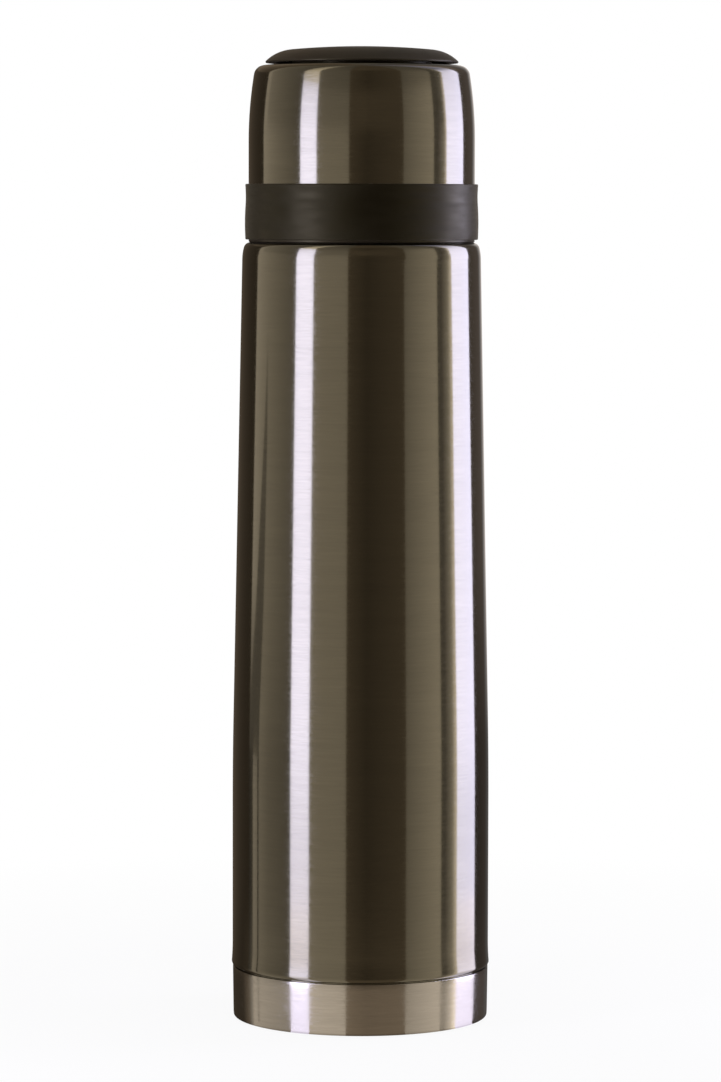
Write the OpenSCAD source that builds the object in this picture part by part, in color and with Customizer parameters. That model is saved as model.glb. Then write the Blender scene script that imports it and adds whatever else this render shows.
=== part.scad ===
// Double-walled vacuum flask with a push-button pouring stopper and a screw-on drinking cup.
// Millimetres, +Z up, origin at the centre of the foot.

/* [Body] */
// Radius of the straight lower part of the body
body_r = 41.7; // [40:0.1:46]
// Radius of the body at the top of its taper
shoulder_r = 38.6; // [38:0.1:40]
// Height of the ledge that the cup stands on
shoulder_z = 252; // [200:0.2:320]
// Height at which the taper starts
taper_z = 84; // [50:1:140]
// Thickness of the outer steel sheet
shell_t = 0.6; // [0.4:0.05:0.8]
// Radius of the rounded shoulder edge
shoulder_round = 2.2; // [1.5:0.1:3]
// Radius of the blend between the taper and the shoulder edge
shoulder_blend = 15.5; // [8:0.5:20]
// Angle at which the blend meets the shoulder edge
blend_angle = 15; // [8:1:25]
// How far the lower edge of the body flares out
flare_out = 0.27; // [0.1:0.01:0.6]
// Height of the flare
flare_h = 6.7; // [4:0.1:12]
// Radius of the rolled lower edge of the body
roll_r = 1.2; // [1:0.1:1.4]

/* [Neck] */
// How far the neck stands in from the shoulder
neck_inset = 8; // [7.6:0.1:8.4]
// Height of the neck above the ledge
neck_h = 22.4; // [20:0.2:24]
// Distance from the neck's outside to the mouth's wall
neck_wall = 5.6; // [5:0.1:6.2]
// Radius of the fillet between the ledge and the neck
neck_fillet = 1.2; // [0.6:0.1:1.4]
// Radius of the outer half of the rolled rim
rim_roll = 2.6; // [2:0.1:2.8]

/* [Inner vessel] */
// Thickness of the inner steel sheet
vessel_t = 0.5; // [0.35:0.05:0.7]
// Width of the vacuum between the walls
vacuum_gap = 4.2; // [3:0.1:5]
// Height of the inside floor of the vessel
floor_z = 18.5; // [17.5:0.1:22]
// Radius of the vessel's lower corner
knuckle_r = 10; // [6:0.5:14]
// Angle at which the lower corner meets the dished floor
dish_angle = 75; // [65:1:80]
// Radius of the vessel's upper corner
vessel_shoulder = 10; // [7:0.5:12]
// Radius of the flare below the neck
neck_flare = 4; // [2.5:0.5:5]
// Depth of the straight neck below the ledge
neck_depth = 3.2; // [2:0.2:5]
// Slope of the vessel's shoulder, from the vertical
vessel_slope = 60; // [50:1:65]
// Thickness of the reflective foil
foil_t = 0.15; // [0.1:0.05:0.3]
// Distance of the foil's ends from the vessel's corners
foil_margin = 4; // [2:0.5:10]

/* [Base] */
// Height of the bare steel base cup
base_h = 16.6; // [12:0.1:20]
// Thickness of the base cup
base_t = 0.5; // [0.4:0.05:0.7]
// How far the base cup's rim stands in from the body
base_inset = 0.1; // [0.05:0.05:0.4]
// How much the base cup narrows towards the foot
base_draft = 0.2; // [0.1:0.02:0.4]
// Radius of the base cup's lower edge
base_round = 1; // [0.7:0.1:1.8]
// Height of the seam between the base cup and the body
seam_h = 0.3; // [0.2:0.1:0.8]
// Clearance between the base cup and the body's lower end
base_fit = 0.06; // [0.04:0.01:0.1]
// Width of the flat foot ring
foot_w = 7.3; // [6:0.1:10]
// Height of the raised panel inside the foot ring
panel_h = 1.2; // [0.6:0.1:1.8]
// Width of the slope from the foot ring to the panel
panel_slope = 2; // [1:0.1:3]
// Distance from the foot ring's inner edge to the cushion ring glued above it
cushion_inset = 1.6; // [1:0.1:2.4]
// Height of the lower edge of the body's outer sheet
sheet_foot_z = 3.2; // [2.4:0.1:4]

/* [Vacuum bottom] */
// Thickness of the welded bottom plate
plate_t = 0.6; // [0.4:0.05:0.8]
// Radius of the bend in the plate's edge
plate_bend = 2; // [1.2:0.1:3]
// Height of the plate's flange
flange_h = 5.6; // [4.5:0.1:6]
// Rise of the plate's stiffening step
step_rise = 2.2; // [1.5:0.1:2.6]
// Distance from the plate's edge to the stiffening step
step_inset = 9.15; // [7:0.05:12]
// Radius of the tray that holds the sealing bead
tray_r = 6.2; // [5:0.1:8]
// Depth of the tray that holds the sealing bead
tray_h = 2; // [1.4:0.1:2.4]
// Radius of the evacuation hole
evac_r = 1.2; // [0.8:0.1:1.8]
// Radius of the getter pellet's cup
getter_r = 4.2; // [3:0.1:5]
// Height of the getter pellet's cup
getter_h = 2.6; // [2:0.1:3]
// Distance of the getter from the flask's axis
getter_at = 17; // [14:0.5:20]

/* [Stopper] */
// Clearance between the plug and the mouth, with room for the screw thread
plug_gap = 1.4; // [1.2:0.05:1.8]
// Wall of the plug
plug_wall = 3; // [2.4:0.1:3.6]
// Length of the plug below the rim
plug_len = 30.2; // [26:0.2:32]
// Thickness of the silicone ring under the head
gasket_t = 1.6; // [1.2:0.1:2]
// How far the head stands in from the neck
head_inset = 1.3; // [1:0.1:1.8]
// Height of the head's collar
collar_h = 12.4; // [11:0.2:13.4]
// Wall of the collar at its top
collar_wall = 2.4; // [2:0.1:2.8]
// How far the pouring lip stands out from the collar
lip_out = 0.7; // [0.4:0.1:0.9]
// Thickness of the head's floor
head_floor = 2.2; // [1.8:0.1:2.6]
// Number of grip flutes round the collar
flute_count = 28; // [20:1:36]
// Depth of the grip flutes
flute_depth = 0.55; // [0.3:0.05:0.7]
// Radius of the valve opening
valve_r = 12.5; // [11:0.1:14]
// Thickness of the valve seat
seat_t = 2.2; // [1.8:0.1:3]
// Number of ribs that hold the stem guide
rib_count = 4; // [3:1:6]
// Thickness of the ribs
rib_t = 1.8; // [1.4:0.1:2.4]
// Height of the ribs and the stem guide
guide_h = 9; // [6:0.5:11]
// Wall of the stem guide
guide_wall = 2.1; // [1.6:0.1:2.6]
// Height of the stem guide's lower end above the valve seat
guide_up = 6; // [4:0.5:8]

/* [Stopper cap] */
// Thickness of the cap's plate
cap_t = 2.2; // [1.8:0.1:2.6]
// Clearance between the cap and the collar
cap_fit = 0.1; // [0.05:0.01:0.15]
// Width of the ledge that carries the cap
cap_ledge = 1.3; // [1:0.1:1.6]
// Wall of the sleeve round the button
sleeve_wall = 1.8; // [1.4:0.1:2.2]
// Depth of the sleeve below the plate
sleeve_depth = 17; // [15:0.2:19]
// Thickness of the sleeve's floor
sleeve_floor = 2; // [1.6:0.1:2.6]
// Height of the sleeve above the plate
sleeve_up = 1.2; // [0.8:0.1:2]
// Number of pouring slots
slot_count = 6; // [4:1:8]
// Width of the pouring slots
slot_w = 3.5; // [2.6:0.1:3.8]
// Share of the circle that the pouring slots take
slot_share = 0.7; // [0.5:0.05:0.8]
// Gap between the sleeve and the pouring slots
slot_gap = 2.2; // [1.6:0.1:2.6]

/* [Push button] */
// Radius of the push button
button_r = 13.1; // [12.4:0.1:13.6]
// Clearance between the button and its sleeve
button_gap = 0.4; // [0.3:0.05:0.6]
// How far the button stands above its sleeve
button_up = 2; // [1:0.1:2.6]
// Rise of the button's domed top
button_dome = 0.8; // [0.4:0.1:1.2]
// Wall of the button
button_wall = 1.8; // [1.4:0.1:2.2]
// Depth of the button's skirt
skirt_depth = 9; // [7:0.5:10]
// Travel of the button
button_travel = 4; // [3:0.1:4.4]
// Radius of the valve stem
stem_r = 2.6; // [2.2:0.1:3]
// Clearance round the stem where it slides
stem_gap = 0.3; // [0.3:0.05:0.5]
// Wall of the button's stem socket
socket_wall = 2.2; // [1.6:0.1:2.4]
// Depth of the button's stem socket
socket_depth = 6; // [4:0.5:7]
// Width of the valve gasket that bears on the seat
seal_land = 3; // [2:0.1:4]
// Thickness of the valve gasket
seal_t = 1.4; // [1:0.1:1.8]
// How far the valve gasket reaches in past the valve opening
seal_over = 1; // [0.6:0.1:1.6]
// Thickness of the valve disc
disc_t = 1.8; // [1.4:0.1:2.4]
// Length of the valve disc's hub
hub_h = 5; // [4:0.1:7]
// Thickness of the stem's retaining clip
clip_t = 0.6; // [0.5:0.1:0.8]
// Length of stem below the clip
stem_tail = 0.8; // [0.6:0.1:1.2]

/* [Spring] */
// Radius of the spring wire
wire_r = 0.45; // [0.3:0.05:0.5]
// Clearance between the stem socket and the spring
spring_gap = 0.6; // [0.5:0.1:0.8]
// Turns of the spring, with its two closed ends
spring_turns = 7; // [6:1:8]

/* [Cup] */
// How far the cup's steel stands in from the body's shoulder
cup_inset = 2.06; // [1.8:0.02:2.6]
// Height of the cup's steel top above the ledge
cup_h = 56.9; // [54:0.1:75]
// Thickness of the cup's steel sheet
cup_t = 0.5; // [0.4:0.05:0.7]
// Length over which the cup's side curves in
crown_h = 24.3; // [18:0.1:30]
// Radius of the long curve in the cup's side
crown_r = 135; // [110:1:180]
// Radius of the cup's upper edge
cup_round = 3.4; // [2:0.1:5]
// Radius of the hole in the cup's steel top
cup_hole_r = 9.2; // [8:0.1:10]

/* [Cup liner] */
// Clearance between the neck and the liner, with room for the screw thread
liner_gap = 1.5; // [1.3:0.05:1.7]
// Wall of the liner
liner_t = 1.8; // [1.4:0.1:2]
// Height of the part of the liner that carries the thread
thread_h = 17; // [14:0.5:19]
// How much the liner narrows towards its end
liner_draft = 0.9; // [0.4:0.1:1]
// Radius of the liner's inside corner
liner_round = 6; // [3:0.5:8]
// Air gap above the liner
air_gap = 3.4; // [3:0.1:4]
// Thickness of the liner's foot flange
foot_t = 0.9; // [0.8:0.1:1.4]
// How far the foot flange stands in from the band
foot_inset = 1.1; // [0.6:0.1:1.4]

/* [Cup band] */
// Height of the grip band
band_h = 17.9; // [14:0.1:22]
// How far the band stands out from the cup's steel
band_out = 1.06; // [0.8:0.02:1.6]
// Swell of the band's lower half
band_swell = 0.14; // [0.05:0.01:0.3]
// Depth of the band's waist
band_waist = 0.16; // [0.05:0.01:0.3]
// Share of the band's height below its waist
band_split = 0.56; // [0.4:0.02:0.7]
// Radius of the band's edges
band_round = 0.35; // [0.2:0.05:0.6]
// Thickness of the web under the cup's steel
web_t = 1.8; // [1.2:0.1:2.4]
// Running clearance round the band's inside
band_fit = 0.05; // [0.03:0.01:0.08]

/* [Cup disc] */
// How far the disc's rim stands in from the cup's side
top_inset = 5.44; // [4:0.02:8]
// Gap between the disc's rim and the cup's steel top
top_gap = 0.8; // [0.5:0.1:1.4]
// Height of the disc above the cup's steel top
top_h = 6.1; // [5.4:0.1:8]
// Width of the disc's rounded edge
top_edge_w = 7.9; // [6:0.1:10]
// Height of the upright edge of the disc
top_land = 0.5; // [0.3:0.05:0.9]
// Radius of curvature of the disc's domed middle
top_dome = 252; // [180:2:600]
// Wall of the disc
top_wall = 2.2; // [1.6:0.1:2.6]
// Width of the ring rib that stands on the cup's steel
rib_ring_w = 1.6; // [1.2:0.1:2]
// Distance from the disc's rounded edge to the ring rib
rib_ring_inset = 2.2; // [1:0.1:5]
// Number of spokes under the disc
spoke_count = 8; // [4:1:12]
// Number of snap fingers
finger_count = 4; // [3:1:6]
// Wall of the snap fingers
finger_wall = 1.8; // [1.4:0.1:2]
// Width of the slots between the snap fingers
finger_slot = 2.4; // [1.6:0.1:3]
// Clearance between the fingers and their hole
finger_gap = 0.5; // [0.3:0.05:0.8]
// How far the snap barbs stand out
barb_out = 1.1; // [0.8:0.1:1.3]
// Height of the snap barbs
barb_h = 0.9; // [0.7:0.1:1.1]
// Height above the liner at which the snap barbs catch
catch_h = 1.2; // [1.1:0.1:1.6]
// Wall of the liner's boss round the fingers
boss_wall = 2.4; // [1.8:0.1:3]

/* [Hidden] */
$fn = 96;

// Lacquered and bare steel, plastics, rubber and glass
lacquer = [0.40, 0.38, 0.30];
bare_steel = [0.72, 0.68, 0.63];
black_plastic = [0.12, 0.10, 0.09];
grey_rubber = [0.55, 0.55, 0.53];

// Body
base_top_r = body_r - base_inset;
base_foot_r = base_top_r - base_draft;
foot_flat_r = base_foot_r - base_round;
foot_in_r = foot_flat_r - foot_w;
spigot_r = base_foot_r - base_t - base_fit;
seam_z = base_h + seam_h;
flare_r = body_r + flare_out;
roll_z = seam_z + roll_r;
flare_top_z = roll_z + flare_h;
flare_curve = (flare_h * flare_h + flare_out * flare_out) / (2 * flare_out);
flare_angle = asin(flare_h / flare_curve);
edge_cr = shoulder_r - shoulder_blend * (1 - cos(blend_angle)) - shoulder_round * cos(blend_angle);
edge_cz = shoulder_z - shoulder_round;
blend_cz = edge_cz - (shoulder_blend - shoulder_round) * sin(blend_angle);
neck_r = shoulder_r - neck_inset;
mouth_r = neck_r - neck_wall;
rim_z = shoulder_z + neck_h;
rim_seam_r = neck_r - rim_roll;

// Inner vessel
wall_stack = shell_t + vacuum_gap + vessel_t;
vessel_r = body_r - wall_stack;
vessel_top_r = shoulder_r - wall_stack;
mouth_roll = rim_seam_r - mouth_r;
neck_foot_z = shoulder_z - neck_depth;
slope_r = mouth_r + neck_flare * (1 - cos(vessel_slope));
slope_z = neck_foot_z - neck_flare * sin(vessel_slope);
corner_cr = vessel_top_r - vessel_shoulder;
corner_start_r = corner_cr + vessel_shoulder * cos(vessel_slope);
corner_cz = slope_z - (corner_start_r - slope_r) / tan(vessel_slope) - vessel_shoulder * sin(vessel_slope);
knuckle_cr = vessel_r - knuckle_r;
dish_r = (knuckle_cr + knuckle_r * cos(dish_angle)) / cos(dish_angle);
knuckle_cz = floor_z + dish_r - (dish_r - knuckle_r) * sin(dish_angle);

// Vacuum bottom
plate_r = spigot_r - shell_t;
step_r = plate_r - step_inset;
flange_top_z = sheet_foot_z + flange_h;
step_top_z = flange_top_z + step_rise;
tray_top_z = step_top_z + tray_h;
step_shift = plate_t * tan(22);

// Stopper
plug_r = mouth_r - plug_gap;
plug_in_r = plug_r - plug_wall;
plug_z = rim_z - plug_len;
head_z = rim_z + gasket_t;
head_r = neck_r - head_inset;
collar_in_r = head_r - collar_wall;
collar_top_z = head_z + collar_h;
cap_z = collar_top_z - cap_t;
cap_r = collar_in_r - cap_fit;
sleeve_in_r = button_r + button_gap;
sleeve_r = sleeve_in_r + sleeve_wall;
sleeve_z = cap_z - sleeve_depth;
sleeve_top_z = collar_top_z + sleeve_up;
floor_top_z = sleeve_z + sleeve_floor;
slot_in_r = sleeve_r + slot_gap;
guide_z = plug_z + seat_t + guide_up;
guide_r = stem_r + stem_gap + guide_wall;

// Push button and valve
button_top_z = sleeve_top_z + button_up;
button_under_z = button_top_z - button_wall;
socket_r = stem_r + socket_wall;
stem_top_z = button_under_z;
gasket_top_z = plug_z;
disc_top_z = plug_z - seal_t;
disc_z = disc_top_z - disc_t;
valve_disc_r = valve_r + seal_land;
seal_in_r = valve_r - seal_over;
clip_z = disc_z - clip_t;
stem_z = clip_z - stem_tail;
spring_r = socket_r + spring_gap + wire_r;

// Cup
cup_r = shoulder_r - cup_inset;
cup_top_z = shoulder_z + cup_h;
crown_z = cup_top_z - crown_h;
crown_angle = asin((cup_top_z - cup_round - crown_z) / (crown_r - cup_round));
cup_edge_cr = cup_r - crown_r + (crown_r - cup_round) * cos(crown_angle);
cup_edge_cz = cup_top_z - cup_round;
cup_under_z = cup_top_z - cup_t;
band_r = cup_r + band_out;
band_z = shoulder_z + foot_t;
band_top_z = band_z + band_h;
web_top_z = band_z + web_t;
liner_r = neck_r + liner_gap;
liner_out_r = liner_r + liner_t;
liner_thread_z = shoulder_z + thread_h;
liner_top_z = cup_under_z - air_gap;
ceiling_z = liner_top_z - liner_t;
liner_end_r = liner_r - liner_draft;
foot_r = band_r - foot_inset;

// Cup disc
top_r = cup_r - top_inset;
top_flat_r = top_r - top_edge_w;
rib_ring_r = top_flat_r - rib_ring_inset;
disc_apex_z = cup_top_z + top_h;
rim_under_z = cup_top_z + top_gap;
dome_angle = asin(top_flat_r / top_dome);
dome_cz = disc_apex_z - top_dome;
dome_edge_z = dome_cz + top_dome * cos(dome_angle);
edge_run = top_r - top_flat_r;
rim_land_z = rim_under_z + top_land;
edge_drop = dome_edge_z - rim_land_z;
edge_curve = (edge_run * edge_run + edge_drop * edge_drop)
    / (2 * (edge_drop * cos(dome_angle) - edge_run * sin(dome_angle)));
edge_cx = top_flat_r - edge_curve * sin(dome_angle);
edge_cy = dome_edge_z - edge_curve * cos(dome_angle);
finger_r = cup_hole_r - finger_gap;
finger_in_r = finger_r - finger_wall;
barb_r = finger_r + barb_out;
barb_top_z = liner_top_z + catch_h;
boss_r = cup_hole_r + boss_wall;

// Points along an arc about [cx, cz]
function arc(cx, cz, r, a0, a1, n = 8) =
    [for (i = [0 : n]) let (a = a0 + (a1 - a0) * i / n) [cx + r * cos(a), cz + r * sin(a)]];

function reversed(v) = [for (i = [len(v) - 1 : -1 : 0]) v[i]];

// Outer radius of the inner vessel's side wall at height z
function vessel_wall_r(z) = vessel_t + (z < taper_z ? vessel_r
    : vessel_r + (vessel_top_r - vessel_r) * (z - taper_z) / (corner_cz - taper_z));

// A body of revolution between two lines of points, such as the two faces of a sheet
module revolve_between(outside, inside) {
    rotate_extrude() polygon(concat(outside, reversed(inside)));
}

module ring(r_out, r_in, z, h) {
    translate([0, 0, z]) difference() {
        cylinder(r = r_out, h = h);
        translate([0, 0, -1]) cylinder(r = r_in, h = h + 2);
    }
}

// The body's line above its rolled lower edge, set in by d from the outside
function shell_line(d) = concat(
    arc(body_r + flare_curve, flare_top_z, flare_curve + d, 180 + flare_angle, 180, 5),
    [[body_r - d, taper_z]],
    arc(shoulder_r - shoulder_blend, blend_cz, shoulder_blend - d, 0, blend_angle, 4),
    arc(edge_cr, edge_cz, shoulder_round - d, blend_angle + 10, 90, 7),
    arc(neck_r + neck_fillet, shoulder_z + neck_fillet, neck_fillet + d, 270, 180, 6),
    arc(rim_seam_r, rim_z - rim_roll, rim_roll - d, 0, 90, 8));

// The lower end that the base cup slides over, and the rolled edge above it
module outer_shell() color(lacquer) {
    roll_cr = flare_r - roll_r;
    roll_start = -acos((spigot_r - roll_cr) / roll_r);
    inner_roll = roll_r - shell_t;
    outside = concat([[spigot_r, sheet_foot_z]],
        arc(roll_cr, roll_z, roll_r, roll_start, -8, 6), shell_line(0));
    inside = concat([[plate_r, sheet_foot_z], [plate_r, roll_z - inner_roll]],
        arc(roll_cr, roll_z, inner_roll, -90, -8, 5), shell_line(shell_t));
    revolve_between(outside, inside);
}

// The vessel's line from the rim to the floor, moved out by d from the wet side
function vessel_line(d) = concat(
    arc(rim_seam_r, rim_z - mouth_roll, mouth_roll - d, 90, 180, 8),
    arc(mouth_r + neck_flare, neck_foot_z, neck_flare - d, 180, 180 + vessel_slope, 6),
    arc(corner_cr, corner_cz, vessel_shoulder + d, vessel_slope, 0, 8),
    [[vessel_r + d, taper_z]],
    arc(knuckle_cr, knuckle_cz, knuckle_r + d, 0, -dish_angle, 8),
    arc(0, floor_z + dish_r, dish_r + d, -dish_angle - 3, -90, 4));

module inner_vessel() color(bare_steel) revolve_between(vessel_line(vessel_t), vessel_line(0));

// Foil wrapped round the vessel's side wall
module reflective_foil() color([0.85, 0.6, 0.4]) {
    low = knuckle_cz + foil_margin;
    high = corner_cz - foil_margin;
    heights = [low, taper_z, high];
    revolve_between([for (z = heights) [vessel_wall_r(z) + foil_t, z]],
        [for (z = heights) [vessel_wall_r(z), z]]);
}

// Bottom plate, welded into the lower end of the outer sheet, with a tray for the sealing bead
module vacuum_bottom() color(bare_steel) {
    upper = concat([[plate_r, sheet_foot_z]],
        arc(plate_r - plate_bend, flange_top_z - plate_bend, plate_bend, 0, 90, 5),
        [[step_r, flange_top_z], [step_r - step_rise, step_top_z],
         [tray_r + tray_h, step_top_z], [tray_r, tray_top_z], [evac_r, tray_top_z]]);
    lower = concat([[plate_r - plate_t, sheet_foot_z]],
        arc(plate_r - plate_bend, flange_top_z - plate_bend, plate_bend - plate_t, 0, 90, 5),
        [[step_r - step_shift, flange_top_z - plate_t],
         [step_r - step_rise - step_shift, step_top_z - plate_t],
         [tray_r + tray_h - step_shift, step_top_z - plate_t], [tray_r - step_shift, tray_top_z - plate_t],
         [evac_r, tray_top_z - plate_t]]);
    revolve_between(upper, lower);
}

// Getter pellet in its cup, on a strip spot-welded to the bottom plate
module getter() color([0.45, 0.45, 0.47]) {
    strip_t = 0.4;
    translate([getter_at, 0, step_top_z]) {
        translate([-getter_r - 2, -1.5, 0]) cube([2 * getter_r + 4, 3, strip_t]);
        translate([0, 0, strip_t]) difference() {
            cylinder(r = getter_r, h = getter_h);
            translate([0, 0, getter_h - 0.4]) cylinder(r = getter_r - 0.4, h = 1);
        }
    }
}

// Bead that closes the evacuation hole
module vacuum_seal() color([0.35, 0.45, 0.4]) {
    bead_r = tray_r - step_shift - 0.6;
    bead_h = tray_h - plate_t;
    under_z = tray_top_z - plate_t;
    rotate_extrude() polygon(concat(
        [[0, tray_top_z], [evac_r, tray_top_z], [evac_r, under_z], [bead_r, under_z]],
        [for (i = [1 : 5]) [bead_r * cos(18 * i), under_z - bead_h * sin(18 * i)]]));
}

// Bare steel cup pressed over the body's lower end, with a flat foot ring and a raised panel
module base_cup() color(bare_steel) {
    shift = base_t * tan(15);
    outside = concat([[0, panel_h], [foot_in_r - panel_slope, panel_h], [foot_in_r, 0]],
        arc(foot_flat_r, base_round, base_round, -90, 0, 6), [[base_top_r, base_h]]);
    inside = concat([[0, panel_h + base_t], [foot_in_r - panel_slope + shift, panel_h + base_t],
         [foot_in_r + shift, base_t]],
        arc(foot_flat_r, base_round, base_round - base_t, -90, 0, 6), [[base_top_r - base_t, base_h]]);
    revolve_between(outside, inside);
}

// Cushion ring glued between the body's lower edge and the foot
module base_cushion() color(grey_rubber)
    ring(foot_flat_r, foot_in_r + cushion_inset, base_t, sheet_foot_z - base_t);

// Silicone ring between the head and the rim
module stopper_gasket() color(grey_rubber) ring(head_r - 0.4, plug_r + 0.6, rim_z, gasket_t);

// Head with fluted collar and pouring lip, hollow plug with valve seat, and ribs with the stem guide
module stopper_body() color(black_plastic) {
    lead = 1.2;
    lip_h = 2.4;
    body_line = concat([[valve_r, plug_z], [plug_r - lead, plug_z], [plug_r, plug_z + lead * 2],
         [plug_r, head_z], [head_r - 0.6, head_z], [head_r, head_z + 0.6], [head_r, collar_top_z - lip_h]],
        arc(head_r + lip_out - 1, collar_top_z - 1, 1, 0, 90, 5),
        [[collar_in_r, collar_top_z], [collar_in_r, cap_z], [collar_in_r - cap_ledge, cap_z],
         [collar_in_r - cap_ledge, head_z + head_floor], [plug_in_r, head_z + head_floor],
         [plug_in_r, plug_z + seat_t], [valve_r, plug_z + seat_t]]);
    difference() {
        rotate_extrude() polygon(body_line);
        grip_flutes();
    }
    stem_guide();
}

// Half-round grooves round the collar, below the lip
module grip_flutes() {
    flute_r = 1.5;
    for (i = [0 : flute_count - 1]) rotate(360 * i / flute_count)
        translate([head_r + flute_r - flute_depth, 0, head_z + 1.4])
            cylinder(r = flute_r, h = collar_h - 5.4, $fn = 24);
}

module stem_guide() {
    sunk = 0.3;
    ring(guide_r, stem_r + stem_gap, guide_z, guide_h);
    for (i = [0 : rib_count - 1]) rotate(360 * (i + 0.5) / rib_count)
        translate([guide_r - sunk, -rib_t / 2, guide_z])
            cube([plug_in_r - guide_r + 2 * sunk, rib_t, guide_h - 1]);
}

// Cap with the pouring slots and the sealed sleeve that the button slides in
module stopper_cap() color(black_plastic) {
    profile = [[stem_r + stem_gap, sleeve_z], [sleeve_r - 0.8, sleeve_z], [sleeve_r, sleeve_z + 0.8],
        [sleeve_r, cap_z], [cap_r, cap_z], [cap_r, collar_top_z - 0.4], [cap_r - 0.4, collar_top_z],
        [sleeve_r, collar_top_z], [sleeve_r, sleeve_top_z - 0.6], [sleeve_r - 0.6, sleeve_top_z],
        [sleeve_in_r + 0.3, sleeve_top_z], [sleeve_in_r, sleeve_top_z - 0.3], [sleeve_in_r, floor_top_z],
        [stem_r + stem_gap, floor_top_z]];
    difference() {
        rotate_extrude() polygon(profile);
        for (i = [0 : slot_count - 1]) rotate(360 * (i + 0.5) / slot_count) pouring_slot();
    }
}

// Curved slot with straight ends, its middle on the X axis
module pouring_slot() {
    span = 360 / slot_count * slot_share;
    far_x = 2 * cap_r * cos(span / 2);
    far_y = 2 * cap_r * sin(span / 2);
    wedge = [[0, 0], [far_x, -far_y], [far_x, far_y]];
    intersection() {
        ring(slot_in_r + slot_w, slot_in_r, cap_z - 1, cap_t + 2);
        translate([0, 0, cap_z - 2]) linear_extrude(cap_t + 4) polygon(wedge);
    }
}

// Lip seal round the stem, on the sleeve's floor
module stem_seal() color(grey_rubber) ring(stem_r + 2, stem_r + 0.05, floor_top_z, 1.6);

// Domed button with a skirt and a socket for the stem
module push_button() color(black_plastic) {
    dome_r = (button_r * button_r + button_dome * button_dome) / (2 * button_dome);
    dome_a = asin((button_r - 1) / dome_r);
    skirt_z = button_top_z - skirt_depth;
    outside = concat([[button_r - button_wall, skirt_z], [button_r, skirt_z], [button_r, button_top_z - 1],
         [button_r - 0.3, button_top_z - 0.3]],
        arc(0, button_top_z + button_dome - dome_r, dome_r, 90 - dome_a, 90, 6));
    inside = [[0, stem_top_z], [stem_r, stem_top_z], [stem_r, stem_top_z - socket_depth],
        [socket_r, stem_top_z - socket_depth], [socket_r, button_under_z],
        [button_r - button_wall, button_under_z]];
    rotate_extrude() polygon(concat(outside, inside));
}

// Height of the spring's wire at turn t: one closed turn at each end, open turns between
function spring_z(t, low, high) =
    let (closed = wire_r * 2.3, open = (high - low - 2 * closed) / (spring_turns - 2))
    t < 1 ? low + closed * t
    : t > spring_turns - 1 ? high - closed * (spring_turns - t)
    : low + closed + open * (t - 1);

// Coil spring between the sleeve's floor and the button, as a wire swept along its helix
module button_spring() color([0.75, 0.75, 0.78]) {
    low = floor_top_z + wire_r;
    high = button_under_z - wire_r;
    sides = 8;
    steps = spring_turns * 20;
    points = [for (i = [0 : steps], k = [0 : sides - 1])
        let (t = spring_turns * i / steps, a = 360 * t, b = 360 * k / sides, r = spring_r + wire_r * cos(b))
        [r * cos(a), r * sin(a), spring_z(t, low, high) + wire_r * sin(b)]];
    walls = [for (i = [0 : steps - 1], k = [0 : sides - 1])
        let (n = (k + 1) % sides, p = i * sides)
        [p + k, p + n, p + sides + n, p + sides + k]];
    start = [[for (k = [sides - 1 : -1 : 0]) k]];
    end = [[for (k = [0 : sides - 1]) steps * sides + k]];
    polyhedron(points, concat(walls, start, end), convexity = 6);
}

// Rod from the button's socket to the valve disc, grooved for its clip
module valve_stem() color(bare_steel) {
    groove = 0.6;
    rotate_extrude() polygon([[0, stem_z], [stem_r - 0.4, stem_z], [stem_r, stem_z + 0.4],
        [stem_r, clip_z], [stem_r - groove, clip_z], [stem_r - groove, disc_z], [stem_r, disc_z],
        [stem_r, stem_top_z], [0, stem_top_z]]);
}

// Disc that closes the valve opening from below, with a hub round the stem
module valve_disc() color(black_plastic) {
    hub_r = stem_r + 2.2;
    rotate_extrude() polygon([[stem_r, disc_z], [valve_disc_r - 0.6, disc_z], [valve_disc_r, disc_z + 0.6],
        [valve_disc_r, disc_top_z], [hub_r + 2, disc_top_z], [hub_r, disc_top_z + 2],
        [hub_r, disc_top_z + hub_h], [stem_r, disc_top_z + hub_h]]);
}

// Silicone ring on the valve disc that bears on the seat
module valve_gasket() color(grey_rubber) ring(valve_disc_r, seal_in_r, disc_top_z, seal_t);

// Open clip in the stem's groove, under the valve disc
module valve_clip() color(bare_steel) difference() {
    ring(stem_r + 1.4, stem_r - 0.6, clip_z, clip_t);
    translate([0, -1, clip_z - 1]) cube([stem_r + 3, 2, clip_t + 2]);
}

// Radius of the band at a share u of its height: swollen below, waisted above
function band_line_r(u) = band_r + (u < band_split
    ? band_swell * sin(180 * u / band_split)
    : -band_waist * sin(180 * (u - band_split) / (1 - band_split)));

// Grip band round the cup's lower edge, with a web under the steel
module cup_band() color(black_plastic) {
    margin = band_round / band_h;
    steps = 16;
    outside = concat([[liner_out_r + band_fit, band_z], [band_r - band_round, band_z]],
        [for (i = [0 : steps]) let (u = margin + (1 - 2 * margin) * i / steps)
            [band_line_r(u), band_z + u * band_h]],
        [[band_r - band_round, band_top_z]]);
    inside = [[liner_out_r + band_fit, web_top_z], [cup_r + band_fit, web_top_z],
        [cup_r + band_fit, band_top_z]];
    revolve_between(outside, inside);
}

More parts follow.
